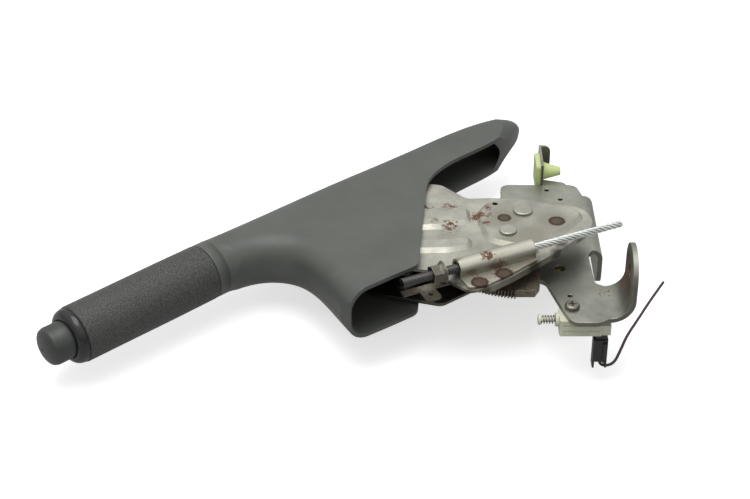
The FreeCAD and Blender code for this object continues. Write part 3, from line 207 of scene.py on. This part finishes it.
# %% Screw thread
THREAD_PITCH = 0.001
THREAD_CREST = 0.00298
THREAD_ROOT = 0.0024
thread_start = -14.5
thread_end = 24.0
thread_mesh = bmesh.new()
thread_from = on_run(thread_start)
profile = []
for radius, part in ((THREAD_ROOT, 0.0), (THREAD_CREST, 0.42), (THREAD_CREST, 0.58), (THREAD_ROOT, 1.0)):
    profile.append(thread_mesh.verts.new(thread_from + aside * radius + RUN * THREAD_PITCH * part))
profile_edges = [thread_mesh.edges.new(pair) for pair in zip(profile, profile[1:])]
thread_turns = int((thread_end - thread_start) / 1000 / THREAD_PITCH)
sides = 20
bmesh.ops.spin(thread_mesh, geom=profile + profile_edges, cent=thread_from, axis=RUN,
               dvec=RUN * THREAD_PITCH / sides, angle=thread_turns * math.tau, steps=thread_turns * sides)
bmesh.ops.remove_doubles(thread_mesh, verts=thread_mesh.verts, dist=0.00002)
for cut_at, outwards in ((thread_from + RUN * THREAD_PITCH, -RUN),
                         (thread_from + RUN * THREAD_PITCH * thread_turns, RUN)):
    everything = list(thread_mesh.verts) + list(thread_mesh.edges) + list(thread_mesh.faces)
    cut = bmesh.ops.bisect_plane(thread_mesh, geom=everything, plane_co=cut_at, plane_no=outwards,
                                 clear_outer=True)
    bmesh.ops.holes_fill(thread_mesh, edges=edges_in(cut["geom_cut"]), sides=0)
bmesh.ops.recalc_face_normals(thread_mesh, faces=thread_mesh.faces)

# %% Crimped ferrule
FERRULE_REAR = -58.0
FERRULE_FRONT = -15.0
FERRULE_RADIUS = 0.0037
CRIMP_RADIUS = 0.0034
ferrule_edges = ring(thread_mesh, on_run(FERRULE_REAR), RUN, FERRULE_RADIUS, 28)
bmesh.ops.holes_fill(thread_mesh, edges=ferrule_edges, sides=0)
station = FERRULE_REAR
while station < FERRULE_FRONT:
    for length, radius in ((1.2, FERRULE_RADIUS), (0.3, CRIMP_RADIUS), (0.4, CRIMP_RADIUS), (0.3, FERRULE_RADIUS)):
        pulled = bmesh.ops.extrude_edge_only(thread_mesh, edges=ferrule_edges)["geom"]
        ferrule_edges = edges_in(pulled)
        moved = verts_in(pulled)
        bmesh.ops.translate(thread_mesh, verts=moved, vec=RUN * length / 1000)
        station += length
        centre = on_run(station)
        for vert in moved:
            offset = vert.co - centre
            vert.co = centre + offset.normalized() * radius
bmesh.ops.holes_fill(thread_mesh, edges=ferrule_edges, sides=0)

# %% Stud's core
CORE_REAR = -16.0
CORE_LENGTH = 0.0408
stud_core = ring(thread_mesh, on_run(CORE_REAR), RUN, THREAD_ROOT, 20)
bmesh.ops.holes_fill(thread_mesh, edges=stud_core, sides=0)
pulled = bmesh.ops.extrude_edge_only(thread_mesh, edges=stud_core)["geom"]
bmesh.ops.translate(thread_mesh, verts=verts_in(pulled), vec=RUN * CORE_LENGTH)
bmesh.ops.holes_fill(thread_mesh, edges=edges_in(pulled), sides=0)
stud = piece_from(thread_mesh, "threaded_stud", "rod")
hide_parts("adjuster_rod")
print("thread turns", thread_turns)

# %% [markdown]
# The grip, its collar and the button are turned shapes. Each is spun from a closed outline of distances
# along the handle and radii, in millimetres, so their soft shoulders come from a few points and an arc.
# The cover's neck ends in a ring of its own that meets the grip in a fine dark seam.

# %% Grip, collar and button
GRIP_AXIS_HEIGHT = 95.8
GRIP_REAR = 179.7
GRIP_FRONT = 274.0
CREASE = 290.6
BUTTON_TIP = 295.2
BUTTON_REAR = 265.5
NECK_REAR = 171.7
NECK_BORE = 15.4


def arc(centre_x, centre_radius, width, height, start, end, parts):
    """Points of an elliptical arc in an outline, from one angle to another in degrees."""
    points = []
    for part in range(parts + 1):
        angle = math.radians(start + (end - start) * part / parts)
        points.append((centre_x + width * math.cos(angle), centre_radius + height * math.sin(angle)))
    return points


def turned(outline, name, body):
    """Spin a closed outline of places along the grip and radii into a piece."""
    bm = bmesh.new()
    axis_point = on_lever(0.0, GRIP_AXIS_HEIGHT, 0.0)
    rim = [bm.verts.new(axis_point + HANDLE * x / 1000 + aside * radius / 1000) for x, radius in outline]
    loop = [bm.edges.new((rim[i], rim[(i + 1) % len(rim)])) for i in range(len(rim))]
    bmesh.ops.spin(bm, geom=rim + loop, cent=axis_point, axis=HANDLE, angle=math.tau, steps=96)
    bmesh.ops.remove_doubles(bm, verts=bm.verts, dist=0.00001)
    bmesh.ops.recalc_face_normals(bm, faces=bm.faces)
    return piece_from(bm, name, body)


SLEEVE_RADIUS = 17.55
BORE_RADIUS = 12.1
grip = turned([(GRIP_REAR, BORE_RADIUS)] + arc(GRIP_REAR + 1.0, SLEEVE_RADIUS - 1.0, 1.0, 1.0, 180, 90, 6)
              + [(GRIP_REAR + 30, SLEEVE_RADIUS + 0.15), (GRIP_FRONT - 25, SLEEVE_RADIUS)]
              + arc(GRIP_FRONT - 1.6, SLEEVE_RADIUS - 1.6, 1.6, 1.6, 90, 0, 8) + [(GRIP_FRONT, BORE_RADIUS)],
              "leather_grip", "lever")
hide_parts("grip_sleeve")
neck = turned([(NECK_REAR, NECK_BORE), (NECK_REAR, 17.42)] + arc(GRIP_REAR - 0.9, 16.8, 0.7, 0.6, 90, 0, 5)
              + [(GRIP_REAR - 0.2, NECK_BORE)], "neck_ring", "lever")
collar = turned([(GRIP_FRONT + 0.15, BORE_RADIUS)] + arc(GRIP_FRONT + 0.9, 16.3, 0.75, 0.75, 180, 90, 5)
                + arc(GRIP_FRONT + 1.2, 12.15, 5.0, 4.75, 80, 0, 12),
                "button_collar", "lever")
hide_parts("grip_collar")
CAP_RADIUS = 11.75
button = turned([(BUTTON_REAR, 9.75), (BUTTON_REAR, CAP_RADIUS), (CREASE - 0.5, CAP_RADIUS), (CREASE, CAP_RADIUS - 0.45),
                 (CREASE + 0.45, CAP_RADIUS - 0.35)]
                + arc(CREASE + 0.5, 0.0, BUTTON_TIP - CREASE - 0.5, CAP_RADIUS - 0.4, 78, 3, 14)
                + [(BUTTON_TIP - 3.0, 0.5), (BUTTON_TIP - 3.0, 9.0)],
                "push_button", "button")
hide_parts("button_cap")

# %% [markdown]
# A finish is a small network of nodes. Colours are easiest to read off a picture as 0 to 255, but the
# shader works in linear light, so a helper converts them. Another adds one node and joins its inputs,
# which keeps each finish short enough to read as a recipe.

# %% Helpers for finishes


def tint(red, green, blue):
    """A screen colour, 0 to 255, as the linear colour that a shader takes."""
    return [((value / 255 + 0.055) / 1.055) ** 2.4 for value in (red, green, blue)] + [1.0]


def add(material, kind, inputs, **settings):
    """Add a node, with each input either a value or another node's output."""
    made = material.node_tree.nodes.new(kind)
    for name, value in settings.items():
        setattr(made, name, value)
    for key, value in inputs.items():
        if isinstance(value, bpy.types.NodeSocket):
            material.node_tree.links.new(value, made.inputs[key])
        else:
            made.inputs[key].default_value = value
    return made


def new_finish(name, roughness, metallic=0.0):
    """A material, its shader, and the place of each point on the object."""
    material = bpy.data.materials.new(name)
    material.use_nodes = True
    shader = material.node_tree.nodes["Principled BSDF"]
    shader.inputs["Roughness"].default_value = roughness
    shader.inputs["Metallic"].default_value = metallic
    place = add(material, "ShaderNodeTexCoord", {}).outputs["Object"]
    return material, shader, place


def noise(material, place, scale, detail=4.0, roughness=0.6):
    made = add(material, "ShaderNodeTexNoise", {"Vector": place, "Scale": scale, "Detail": detail,
                                                 "Roughness": roughness})
    return made.outputs["Fac"]


def squeeze(material, value, low, high, to_low=0.0, to_high=1.0):
    """Spread the stretch from low to high over the whole range, and clip the rest."""
    made = add(material, "ShaderNodeMapRange", {"Value": value, "From Min": low, "From Max": high,
                                                 "To Min": to_low, "To Max": to_high})
    return made.outputs["Result"]


def blend(material, factor, first, second):
    made = add(material, "ShaderNodeMix", {"Factor": factor, 6: first, 7: second}, data_type="RGBA")
    return made.outputs[2]


def maths(material, operation, first, second=0.5):
    return add(material, "ShaderNodeMath", {0: first, 1: second}, operation=operation).outputs[0]


def near(material, place, centre, radius, soft, ragged=0.0):
    """A mask that is 1 round a centre and fades out over the soft width, with a ragged edge."""
    gap = add(material, "ShaderNodeVectorMath", {0: place, 1: centre}, operation="DISTANCE").outputs["Value"]
    if ragged:
        wobble = maths(material, "MULTIPLY", noise(material, place, 350.0), ragged)
        gap = maths(material, "ADD", gap, wobble)
    return squeeze(material, gap, radius + ragged / 2, radius + ragged / 2 - soft)


def wire_up(material, shader, key, output):
    material.node_tree.links.new(output, shader.inputs[key])


def from_line(material, place, point, along):
    """How far each point lies from a line through a point."""
    offset = add(material, "ShaderNodeVectorMath", {0: place, 1: point}, operation="SUBTRACT").outputs[0]
    across = add(material, "ShaderNodeVectorMath", {0: offset, 1: along}, operation="CROSS_PRODUCT")
    return add(material, "ShaderNodeVectorMath", {0: across.outputs[0]}, operation="LENGTH").outputs["Value"]


def agreement(material, first, second):
    """How far two directions agree: 1 where they are the same and 0 where they are square to each other."""
    return add(material, "ShaderNodeVectorMath", {0: first, 1: second}, operation="DOT_PRODUCT").outputs["Value"]


def give_bump(material, shader, height, distance, strength=1.0):
    bump = add(material, "ShaderNodeBump", {"Height": height, "Distance": distance, "Strength": strength})
    wire_up(material, shader, "Normal", bump.outputs["Normal"])


def dress(material, *nodes):
    """Give a finish to the model's own pieces by their names."""
    for name in nodes:
        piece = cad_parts[name]
        if not piece.material_slots:
            piece.data.materials.append(material)
        for slot in piece.material_slots:
            slot.material = material


# %% [markdown]
# The grip is black leather-grained skin, worn satin. Its grain is a field of pebbles a millimetre or two
# across: Voronoi cells, bent by noise so that no two look alike, pressed in as bump.

# %% Grip
leather, shader, place = new_finish("grip_leather", 0.5)
drift = add(leather, "ShaderNodeTexNoise", {"Vector": place, "Scale": 260.0, "Detail": 3.0}).outputs["Color"]
bent = add(leather, "ShaderNodeMix", {"Factor": 0.0016, 4: place, 5: drift}, data_type="VECTOR").outputs[1]
cells = add(leather, "ShaderNodeTexVoronoi", {"Vector": bent, "Scale": 620.0}, feature="DISTANCE_TO_EDGE")
pebble = squeeze(leather, cells.outputs["Distance"], 0.0, 0.22)
patchy = squeeze(leather, noise(leather, place, 60.0), 0.3, 0.7)
ground = blend(leather, patchy, tint(78, 80, 77), tint(92, 94, 89))
wire_up(leather, shader, "Base Color", blend(leather, pebble, tint(54, 55, 53), ground))
wire_up(leather, shader, "Roughness", squeeze(leather, patchy, 0.0, 1.0, 0.42, 0.56))
give_bump(leather, shader, pebble, 0.00016, 0.8)
dress(leather, "grip_sleeve")
grip.data.materials.append(leather)

# %% [markdown]
# The cover is one hard moulding with a fine satin texture. Two scales of noise do it: a very fine one
# as bump, and a broad faint one in the colour, where hands have polished it.

# %% Cover
moulding, shader, place = new_finish("cover_plastic", 0.45)
polish = squeeze(moulding, noise(moulding, place, 28.0, 5.0), 0.3, 0.7)
body_colour = blend(moulding, polish, tint(88, 91, 86), tint(97, 100, 94))
dust = squeeze(moulding, noise(moulding, place, 900.0, 2.0), 0.74, 0.8)
wire_up(moulding, shader, "Base Color", blend(moulding, dust, body_colour, tint(120, 120, 112)))
wire_up(moulding, shader, "Roughness", squeeze(moulding, polish, 0.0, 1.0, 0.5, 0.38))
give_bump(moulding, shader, noise(moulding, place, 2200.0, 2.0), 0.00005, 0.5)
dress(moulding, "trim_cover")
neck.data.materials.append(moulding)

# %% Button, collar and connector


def black_plastic(name, colour, roughness):
    made, shader, place = new_finish(name, roughness)
    worn = squeeze(made, noise(made, place, 120.0, 5.0), 0.35, 0.75)
    polished = [value * 1.35 for value in colour[:3]] + [1.0]
    wire_up(made, shader, "Base Color", blend(made, worn, colour, polished))
    give_bump(made, shader, noise(made, place, 1800.0, 2.0), 0.00004, 0.4)
    return made


button.data.materials.append(black_plastic("button_plastic", tint(62, 65, 62), 0.42))
dress(black_plastic("dark_plastic", tint(27, 28, 27), 0.4), "wire_plug", "button_guide")
collar.data.materials.append(black_plastic("collar_plastic", tint(32, 34, 32), 0.22))

# %% [markdown]
# The pressings are zinc plated and then years old: dull and blotchy, scratched, with brown rust where
# the plating was cut or welded. The colour changes in broad patches, the roughness in smaller ones,
# and thin dark scratches come from noise stretched along one direction. Rust grows from named places:
# as a solid spot where a weld burnt the plating off, and as fine freckles round it. A pressing's edges
# are also rounder than the solid's, which the Bevel node gives to the shading without touching the mesh.

# %% Helpers for metal
RUST = tint(108, 70, 44)
WELD_BROWN = tint(64, 42, 30)
WELD_GREY = tint(108, 98, 82)
UNDERSIDE_SHADE = tint(78, 74, 64)
FACING_DOWN = Vector((math.sin(TABLE_TILT), -math.cos(TABLE_TILT), 0))


def edge_wear(material, radius, low=0.02, high=0.2):
    """The shading normal of rounded edges, and a mask that is 1 along those edges."""
    rounded = add(material, "ShaderNodeBevel", {"Radius": radius}, samples=4).outputs["Normal"]
    true_normal = add(material, "ShaderNodeNewGeometry", {}).outputs["Normal"]
    return rounded, squeeze(material, agreement(material, rounded, true_normal), 1.0 - low, 1.0 - high)


def freckles(material, place, fields, scale=520.0):
    """Rust freckles inside soft round fields, each a centre, a radius and how dense it is."""
    grain = noise(material, place, scale, 6.0, 0.8)
    total = None
    for centre, radius, dense in fields:
        inside = near(material, place, centre, radius, radius * 0.7, 0.006)
        level = maths(material, "ADD", grain, maths(material, "MULTIPLY", inside, dense))
        spots = squeeze(material, level, 0.66, 0.73)
        total = spots if total is None else maths(material, "MAXIMUM", total, spots)
    return total


def plated(name, bright, dull, fields=(), welds=(), rust_everywhere=0.72, edge_colour=None, tones_and_painted_shade=()):
    """Old zinc plate, with freckles of rust in some fields, burnt weld spots, darkened patches (some of them
    painted shade) and painted shade on faces turned down.
    """
    made, shader, place = new_finish(name, 0.4, 1.0)
    blotch = squeeze(made, noise(made, place, 45.0, 6.0), 0.35, 0.65)
    colour = blend(made, blotch, bright, dull)
    # Each patch blends the plate towards its own colour; the cheek's rim patches are painted shade.
    for centre, radius, shade in tones_and_painted_shade:
        colour = blend(made, near(made, place, centre, radius, radius * 0.6, 0.004), colour, shade)
    stretch = add(made, "ShaderNodeMapping", {"Vector": place, "Rotation": (0.0, 0.7, 0.0),
                                               "Scale": (1.0, 1.0, 0.06)})
    scratch = squeeze(made, noise(made, stretch.outputs["Vector"], 1500.0, 2.0), 0.68, 0.74)
    colour = blend(made, maths(made, "MULTIPLY", scratch, 0.35), colour, tint(120, 118, 108))
    grime = squeeze(made, noise(made, place, 160.0, 8.0, 0.7), 0.62, 0.78, 0.0, 0.35)
    colour = blend(made, grime, colour, tint(116, 106, 92))
    # Painted shade: faces turned down towards the table are darkened, as if they lay in shade.
    normal = add(made, "ShaderNodeNewGeometry", {}).outputs["Normal"]
    turned_down = agreement(made, normal, FACING_DOWN)
    colour = blend(made, squeeze(made, turned_down, -0.1, 0.6, 0.0, 0.75), colour, UNDERSIDE_SHADE)
    rounded, worn = edge_wear(made, 0.0006)
    if edge_colour:
        patchy_edge = maths(made, "MULTIPLY", worn, squeeze(made, noise(made, place, 240.0, 4.0), 0.3, 0.6))
        colour = blend(made, patchy_edge, colour, edge_colour)
    rust = squeeze(made, noise(made, place, 420.0, 3.0), rust_everywhere, rust_everywhere + 0.05)
    if fields:
        rust = maths(made, "MAXIMUM", rust, freckles(made, place, fields))
    colour = blend(made, rust, colour, RUST)
    burnt = rust
    for centre, radius in welds:
        spot = near(made, place, centre, radius, 0.0008, 0.0012)
        core = near(made, place, centre, radius * 0.72, 0.0012, 0.002)
        mottled = blend(made, noise(made, place, 260.0), WELD_GREY, WELD_BROWN)
        weld_colour = blend(made, core, WELD_BROWN, mottled)
        colour = blend(made, spot, colour, weld_colour)
        burnt = maths(made, "MAXIMUM", burnt, spot)
    wire_up(made, shader, "Base Color", colour)
    wire_up(made, shader, "Metallic", squeeze(made, burnt, 0.0, 1.0, 0.9, 0.1))
    roughness = squeeze(made, blotch, 0.0, 1.0, 0.34, 0.48)
    roughness = maths(made, "ADD", roughness, maths(made, "MULTIPLY", burnt, 0.3))
    wire_up(made, shader, "Roughness", roughness)
    height = maths(made, "ADD", noise(made, place, 500.0, 4.0), burnt)
    bump = add(made, "ShaderNodeBump", {"Height": height, "Distance": 0.0001, "Strength": 0.35,
                                         "Normal": rounded})
    wire_up(made, shader, "Normal", bump.outputs["Normal"])
    return made


# %% Lever pressings
cheek_fields = [
    (on_lever(42.0, 46.0, 10.0), 0.010, 0.22), (on_lever(28.0, 36.0, 10.0), 0.009, 0.2),
    (on_lever(24.0, 16.5, 11.0), 0.008, 0.26), (on_lever(44.0, 20.0, 10.0), 0.010, 0.2),
    (on_lever(13.0, 18.0, 11.0), 0.006, 0.22), (on_lever(27.0, 6.0, 11.0), 0.006, 0.2),
    (on_lever(50.0, 30.0, 10.0), 0.008, 0.16), (on_lever(19.0, 11.0, 11.0), 0.005, 0.2),
]
PLATEAU_SHADE = tint(160, 157, 144)
# Painted shade: the cheek's rolled rim turns away from the light, and by the guide's end the cable's shadow falls
# on it; both are darkened in the colour.
PAINTED_RIM_SHADE = tint(84, 80, 70)
cheek_tones_and_painted_shade = [
    (on_lever(14.0, 2.0, 12.4), 0.017, PLATEAU_SHADE), (on_lever(-6.0, -20.0, 12.4), 0.016, PLATEAU_SHADE),
    (on_lever(16.0, -22.0, 12.4), 0.016, PLATEAU_SHADE), (on_lever(34.0, -20.0, 12.4), 0.012, PLATEAU_SHADE),
    (on_lever(24.7, -33.0, 8.0), 0.005, PAINTED_RIM_SHADE), (on_lever(7.0, -39.0, 8.0), 0.006, PAINTED_RIM_SHADE),
    (on_lever(-8.0, -45.0, 8.0), 0.006, PAINTED_RIM_SHADE), (on_lever(15.0, -44.5, 8.0), 0.007, PAINTED_RIM_SHADE),
    (on_lever(35.0, -43.5, 8.0), 0.007, PAINTED_RIM_SHADE), (on_lever(86.0, -27.0, 7.0), 0.007, PAINTED_RIM_SHADE),
    (on_lever(85.0, -37.0, 7.0), 0.006, PAINTED_RIM_SHADE), (on_lever(75.0, -42.5, 7.0), 0.006, PAINTED_RIM_SHADE),
]
cheek_welds = [(on_lever(14.4, 2.3, 12.4), 0.0048), (on_lever(-7.1, -22.3, 12.4), 0.0056)]
dress(plated("cheek_steel", tint(204, 203, 190), tint(164, 164, 155), cheek_fields, cheek_welds,
             edge_colour=tint(128, 114, 94), tones_and_painted_shade=cheek_tones_and_painted_shade), "lever_cheek_left")
guide_fields = [(on_lever(74.0, -36.0, 11.6), 0.012, 0.2), (on_lever(57.0, -38.0, 11.6), 0.014, 0.2),
                (on_lever(60.0, -28.0, 20.0), 0.008, 0.24), (on_lever(76.0, -18.0, 19.0), 0.008, 0.2)]
guide_welds = [(on_lever(74.7, -36.1, 11.6), 0.0058), (on_lever(57.4, -39.6, 11.6), 0.0060)]
dress(plated("guide_steel", tint(206, 204, 190), tint(184, 182, 168), guide_fields, guide_welds,
             edge_colour=tint(140, 128, 108)), "cable_guide")
plate_fields = [(at(60.0, -8.0, -46.0), 0.010, 0.14), (at(-20.0, -8.0, 10.0), 0.012, 0.1)]
FOOT_GRIME = tint(88, 76, 60)
plate_shades = [(at(66.0, 14.0, -58.5), 0.020, FOOT_GRIME), (at(50.0, 8.0, -58.5), 0.016, FOOT_GRIME),
                (at(46.0, -8.0, -6.0), 0.040, tint(138, 140, 130))]
plate_fields += [(at(66.0, 10.0, -58.5), 0.018, 0.2), (at(56.0, 2.0, -58.5), 0.014, 0.2)]
dress(plated("plate_steel", tint(176, 176, 165), tint(144, 146, 136), plate_fields,
             edge_colour=tint(206, 204, 194), tones_and_painted_shade=plate_shades),
      "bracket_plate", "console_tab", "sector_rivets", "lever_tube")
# The far cheek gets a darker copy of the plate: painted shade, as it lies in shade.
dress(plated("far_cheek_painted_shade", tint(112, 111, 103), tint(80, 79, 73)), "lever_cheek_right")
dress(plated("clip_steel", tint(150, 147, 132), tint(104, 99, 86), (), (), 0.6, tint(80, 72, 60)), "rod_clip")
dress(plated("rivet_steel", tint(190, 190, 180), tint(166, 166, 154), (), (), 0.68),
      "pivot_rivet", "stop_rivet", "pawl_pin", "pivot_bush")
dress(plated("bright_steel", tint(180, 178, 166), tint(118, 116, 106)), "release_rod", "switch_spring",
      "button_spring", "pawl_spring")
dress(plated("nut_steel", tint(122, 118, 108), tint(76, 73, 66), (), (), 0.66, tint(190, 188, 176)),
      "adjuster_nut")
dress(plated("screw_steel", tint(150, 146, 136), tint(92, 88, 80), (), (), 0.66), "switch_screw")
dress(plated("sector_steel", tint(186, 178, 160), tint(126, 116, 98), (), (), 0.58, tint(70, 58, 42)),
      "ratchet_sector")
dress(plated("dark_steel", tint(80, 76, 72), tint(48, 46, 44), (), (), 0.68), "pawl")
dress(plated("yellow_zinc", tint(196, 186, 110), tint(160, 150, 90)), "weld_nut")
dress(plated("brass", tint(205, 175, 100), tint(170, 140, 80)), "terminal_blades")

# %% Stud and cable
stud_finish = plated("stud_steel", tint(122, 120, 116), tint(74, 72, 70), (), (), 0.66)
shader = stud_finish.node_tree.nodes["Principled BSDF"]
# The plated colour, with its wear, rust and painted shade on faces turned down.
plated_colour_with_shade = shader.inputs["Base Color"].links[0].from_socket
place = add(stud_finish, "ShaderNodeTexCoord", {}).outputs["Object"]
# Painted shade: the thread's roots are darkened nearly to black and its crests kept lighter; beyond the thread the
# plated colour stays.
away = from_line(stud_finish, place, on_run(0), RUN)
thread_root_shade_colour = blend(stud_finish, squeeze(stud_finish, away, THREAD_ROOT + 0.0002, THREAD_CREST),
               tint(14, 14, 13), tint(126, 125, 122))
wire_up(stud_finish, shader, "Base Color",
        blend(stud_finish, squeeze(stud_finish, away, 0.0031, 0.0033), thread_root_shade_colour, plated_colour_with_shade))
stud.data.materials.append(stud_finish)
strands, shader, place = new_finish("cable_steel", 0.32, 0.6)
wire_colour = blend(strands, squeeze(strands, noise(strands, place, 300.0), 0.3, 0.7), tint(246, 250, 246),
                    tint(218, 222, 216))
# Painted shade: between the strands, nearer the axis, the colour is darkened; the crowns keep the wire's colour.
away = from_line(strands, place, cable_start, RUN)
strand_crown_beside_shaded_gap = squeeze(strands, away, CABLE_RADIUS * 0.74, CABLE_RADIUS * 0.94)
wire_up(strands, shader, "Base Color", blend(strands, strand_crown_beside_shaded_gap, tint(92, 94, 90), wire_colour))
cable.data.materials.append(strands)
sleeve, shader, place = new_finish("wire_sleeve", 0.5)
wire_up(sleeve, shader, "Base Color",
        blend(sleeve, noise(sleeve, place, 300.0), tint(52, 37, 32), tint(80, 60, 52)))
lead.data.materials.append(sleeve)

# %% [markdown]
# The switch and its plunger are cream plastic, and the grommet is pale green nylon that lets some
# light through, which subsurface scattering gives it.

# %% Cream plastic and nylon
cream, shader, place = new_finish("cream_plastic", 0.4)
wire_up(cream, shader, "Base Color", blend(cream, squeeze(cream, noise(cream, place, 90.0, 5.0), 0.4, 0.75),
                                           tint(242, 244, 224), tint(222, 222, 196)))
shader.inputs["Subsurface Weight"].default_value = 0.8
shader.inputs["Subsurface Radius"].default_value = (0.009, 0.009, 0.007)
dress(cream, "switch_body", "switch_plunger")
nylon, shader, place = new_finish("green_nylon", 0.35)
wire_up(nylon, shader, "Base Color",
        blend(nylon, noise(nylon, place, 150.0), tint(222, 246, 158), tint(234, 252, 186)))
shader.inputs["Subsurface Weight"].default_value = 0.7
shader.inputs["Subsurface Radius"].default_value = (0.006, 0.008, 0.004)
dress(nylon, "console_grommet")

# %% [markdown]
# The lever lies over a white table. In this frame the table stands upright on the -Y side, leaning a
# little, in the plane of the grip, the bracket's rear flange and the plug, but 14 mm further off, which
# softens the shadow. It is white to the camera, gives little light back, and its back face is clear, so
# that the part can be seen from that side too.

# %% Table
TABLE_GAP = 0.014
SUPPORT = [on_lever(258.0, GRIP_AXIS_HEIGHT, -17.6), at(80.5, -46.5, -43.0), at(-40.0, -36.2, -50.0)]
table_normal = (SUPPORT[1] - SUPPORT[0]).cross(SUPPORT[2] - SUPPORT[0]).normalized()
if table_normal.y < 0:
    table_normal = -table_normal
print("table normal", [round(v, 3) for v in table_normal])
table_mesh = bmesh.new()
facing = table_normal.to_track_quat("Z", "Y").to_matrix().to_4x4()
table_place = Matrix.Translation(SUPPORT[0] - table_normal * TABLE_GAP)
bmesh.ops.create_grid(table_mesh, x_segments=1, y_segments=1, size=3.0, matrix=table_place @ facing)
table_data = bpy.data.meshes.new("table")
table_mesh.to_mesh(table_data)
table_mesh.free()
table = bpy.data.objects.new("table", table_data)
bpy.context.collection.objects.link(table)
paper = bpy.data.materials.new("table_white")
paper.use_nodes = True
nodes = paper.node_tree.nodes
nodes.clear()
rays = add(paper, "ShaderNodeLightPath", {})
mirrored = maths(paper, "MAXIMUM", rays.outputs["Is Glossy Ray"], rays.outputs["Is Transmission Ray"])
seen = maths(paper, "MAXIMUM", rays.outputs["Is Camera Ray"], maths(paper, "MULTIPLY", mirrored, 0.35))
shade = blend(paper, seen, (0.26, 0.26, 0.26, 1.0), (0.9, 0.9, 0.9, 1.0))
matt = add(paper, "ShaderNodeBsdfDiffuse", {"Color": shade}).outputs[0]
glow = add(paper, "ShaderNodeEmission", {"Color": (1.0, 1.0, 1.0, 1.0),
                                          "Strength": maths(paper, "MULTIPLY", seen, 0.62)}).outputs[0]
lit = add(paper, "ShaderNodeAddShader", {0: matt, 1: glow}).outputs[0]
clear = add(paper, "ShaderNodeBsdfTransparent", {}).outputs[0]
behind = add(paper, "ShaderNodeNewGeometry", {}).outputs["Backfacing"]
unseen = maths(paper, "MAXIMUM", behind, rays.outputs["Is Shadow Ray"])
shown = add(paper, "ShaderNodeMixShader", {0: unseen, 1: lit, 2: clear}).outputs[0]
add(paper, "ShaderNodeOutputMaterial", {"Surface": shown})
table.data.materials.append(paper)

# %% [markdown]
# The light is a studio tent: a world that is strong above the table and weak below it, and one large
# soft lamp over the object. The camera sees plain white, and mirror-like reflections nearly so. The light
# is kept at a level at which a colour renders about as it is written.

# %% Light
world = bpy.data.worlds.new("studio")
world.use_nodes = True
bpy.context.scene.world = world
nodes = world.node_tree.nodes
nodes.clear()
direction = add(world, "ShaderNodeTexCoord", {}).outputs["Generated"]
over = add(world, "ShaderNodeSeparateXYZ", {"Vector": direction}).outputs["Y"]
level = squeeze(world, over, -0.5, 1.0, 0.13, 0.57)
mirrored_level = squeeze(world, over, -0.2, 0.7, 0.15, 1.0)
rays = add(world, "ShaderNodeLightPath", {})
mirrored = maths(world, "MAXIMUM", rays.outputs["Is Glossy Ray"], rays.outputs["Is Transmission Ray"])
lighting = add(world, "ShaderNodeMix", {"Factor": mirrored, 2: level, 3: mirrored_level}).outputs[0]
seen = rays.outputs["Is Camera Ray"]
strength = add(world, "ShaderNodeMix", {"Factor": seen, 2: lighting, 3: 1.0}).outputs[0]
background = add(world, "ShaderNodeBackground", {"Color": (1.0, 1.0, 1.0, 1.0), "Strength": strength})
add(world, "ShaderNodeOutputWorld", {"Surface": background.outputs[0]})

lamp_data = bpy.data.lights.new("softbox", "AREA")
lamp_data.shape = "RECTANGLE"
lamp_data.size = 0.9
lamp_data.size_y = 0.7
lamp_data.energy = 6.8
lamp = bpy.data.objects.new("softbox", lamp_data)
bpy.context.collection.objects.link(lamp)
lamp_place = Vector((0.1, 1.1, 0.3))
lamp_turn = (lamp_place - aim).to_track_quat("Z", "Y").to_matrix().to_4x4()
lamp.matrix_world = Matrix.Translation(lamp_place) @ lamp_turn

# %% Update the view layer
bpy.context.view_layer.update()
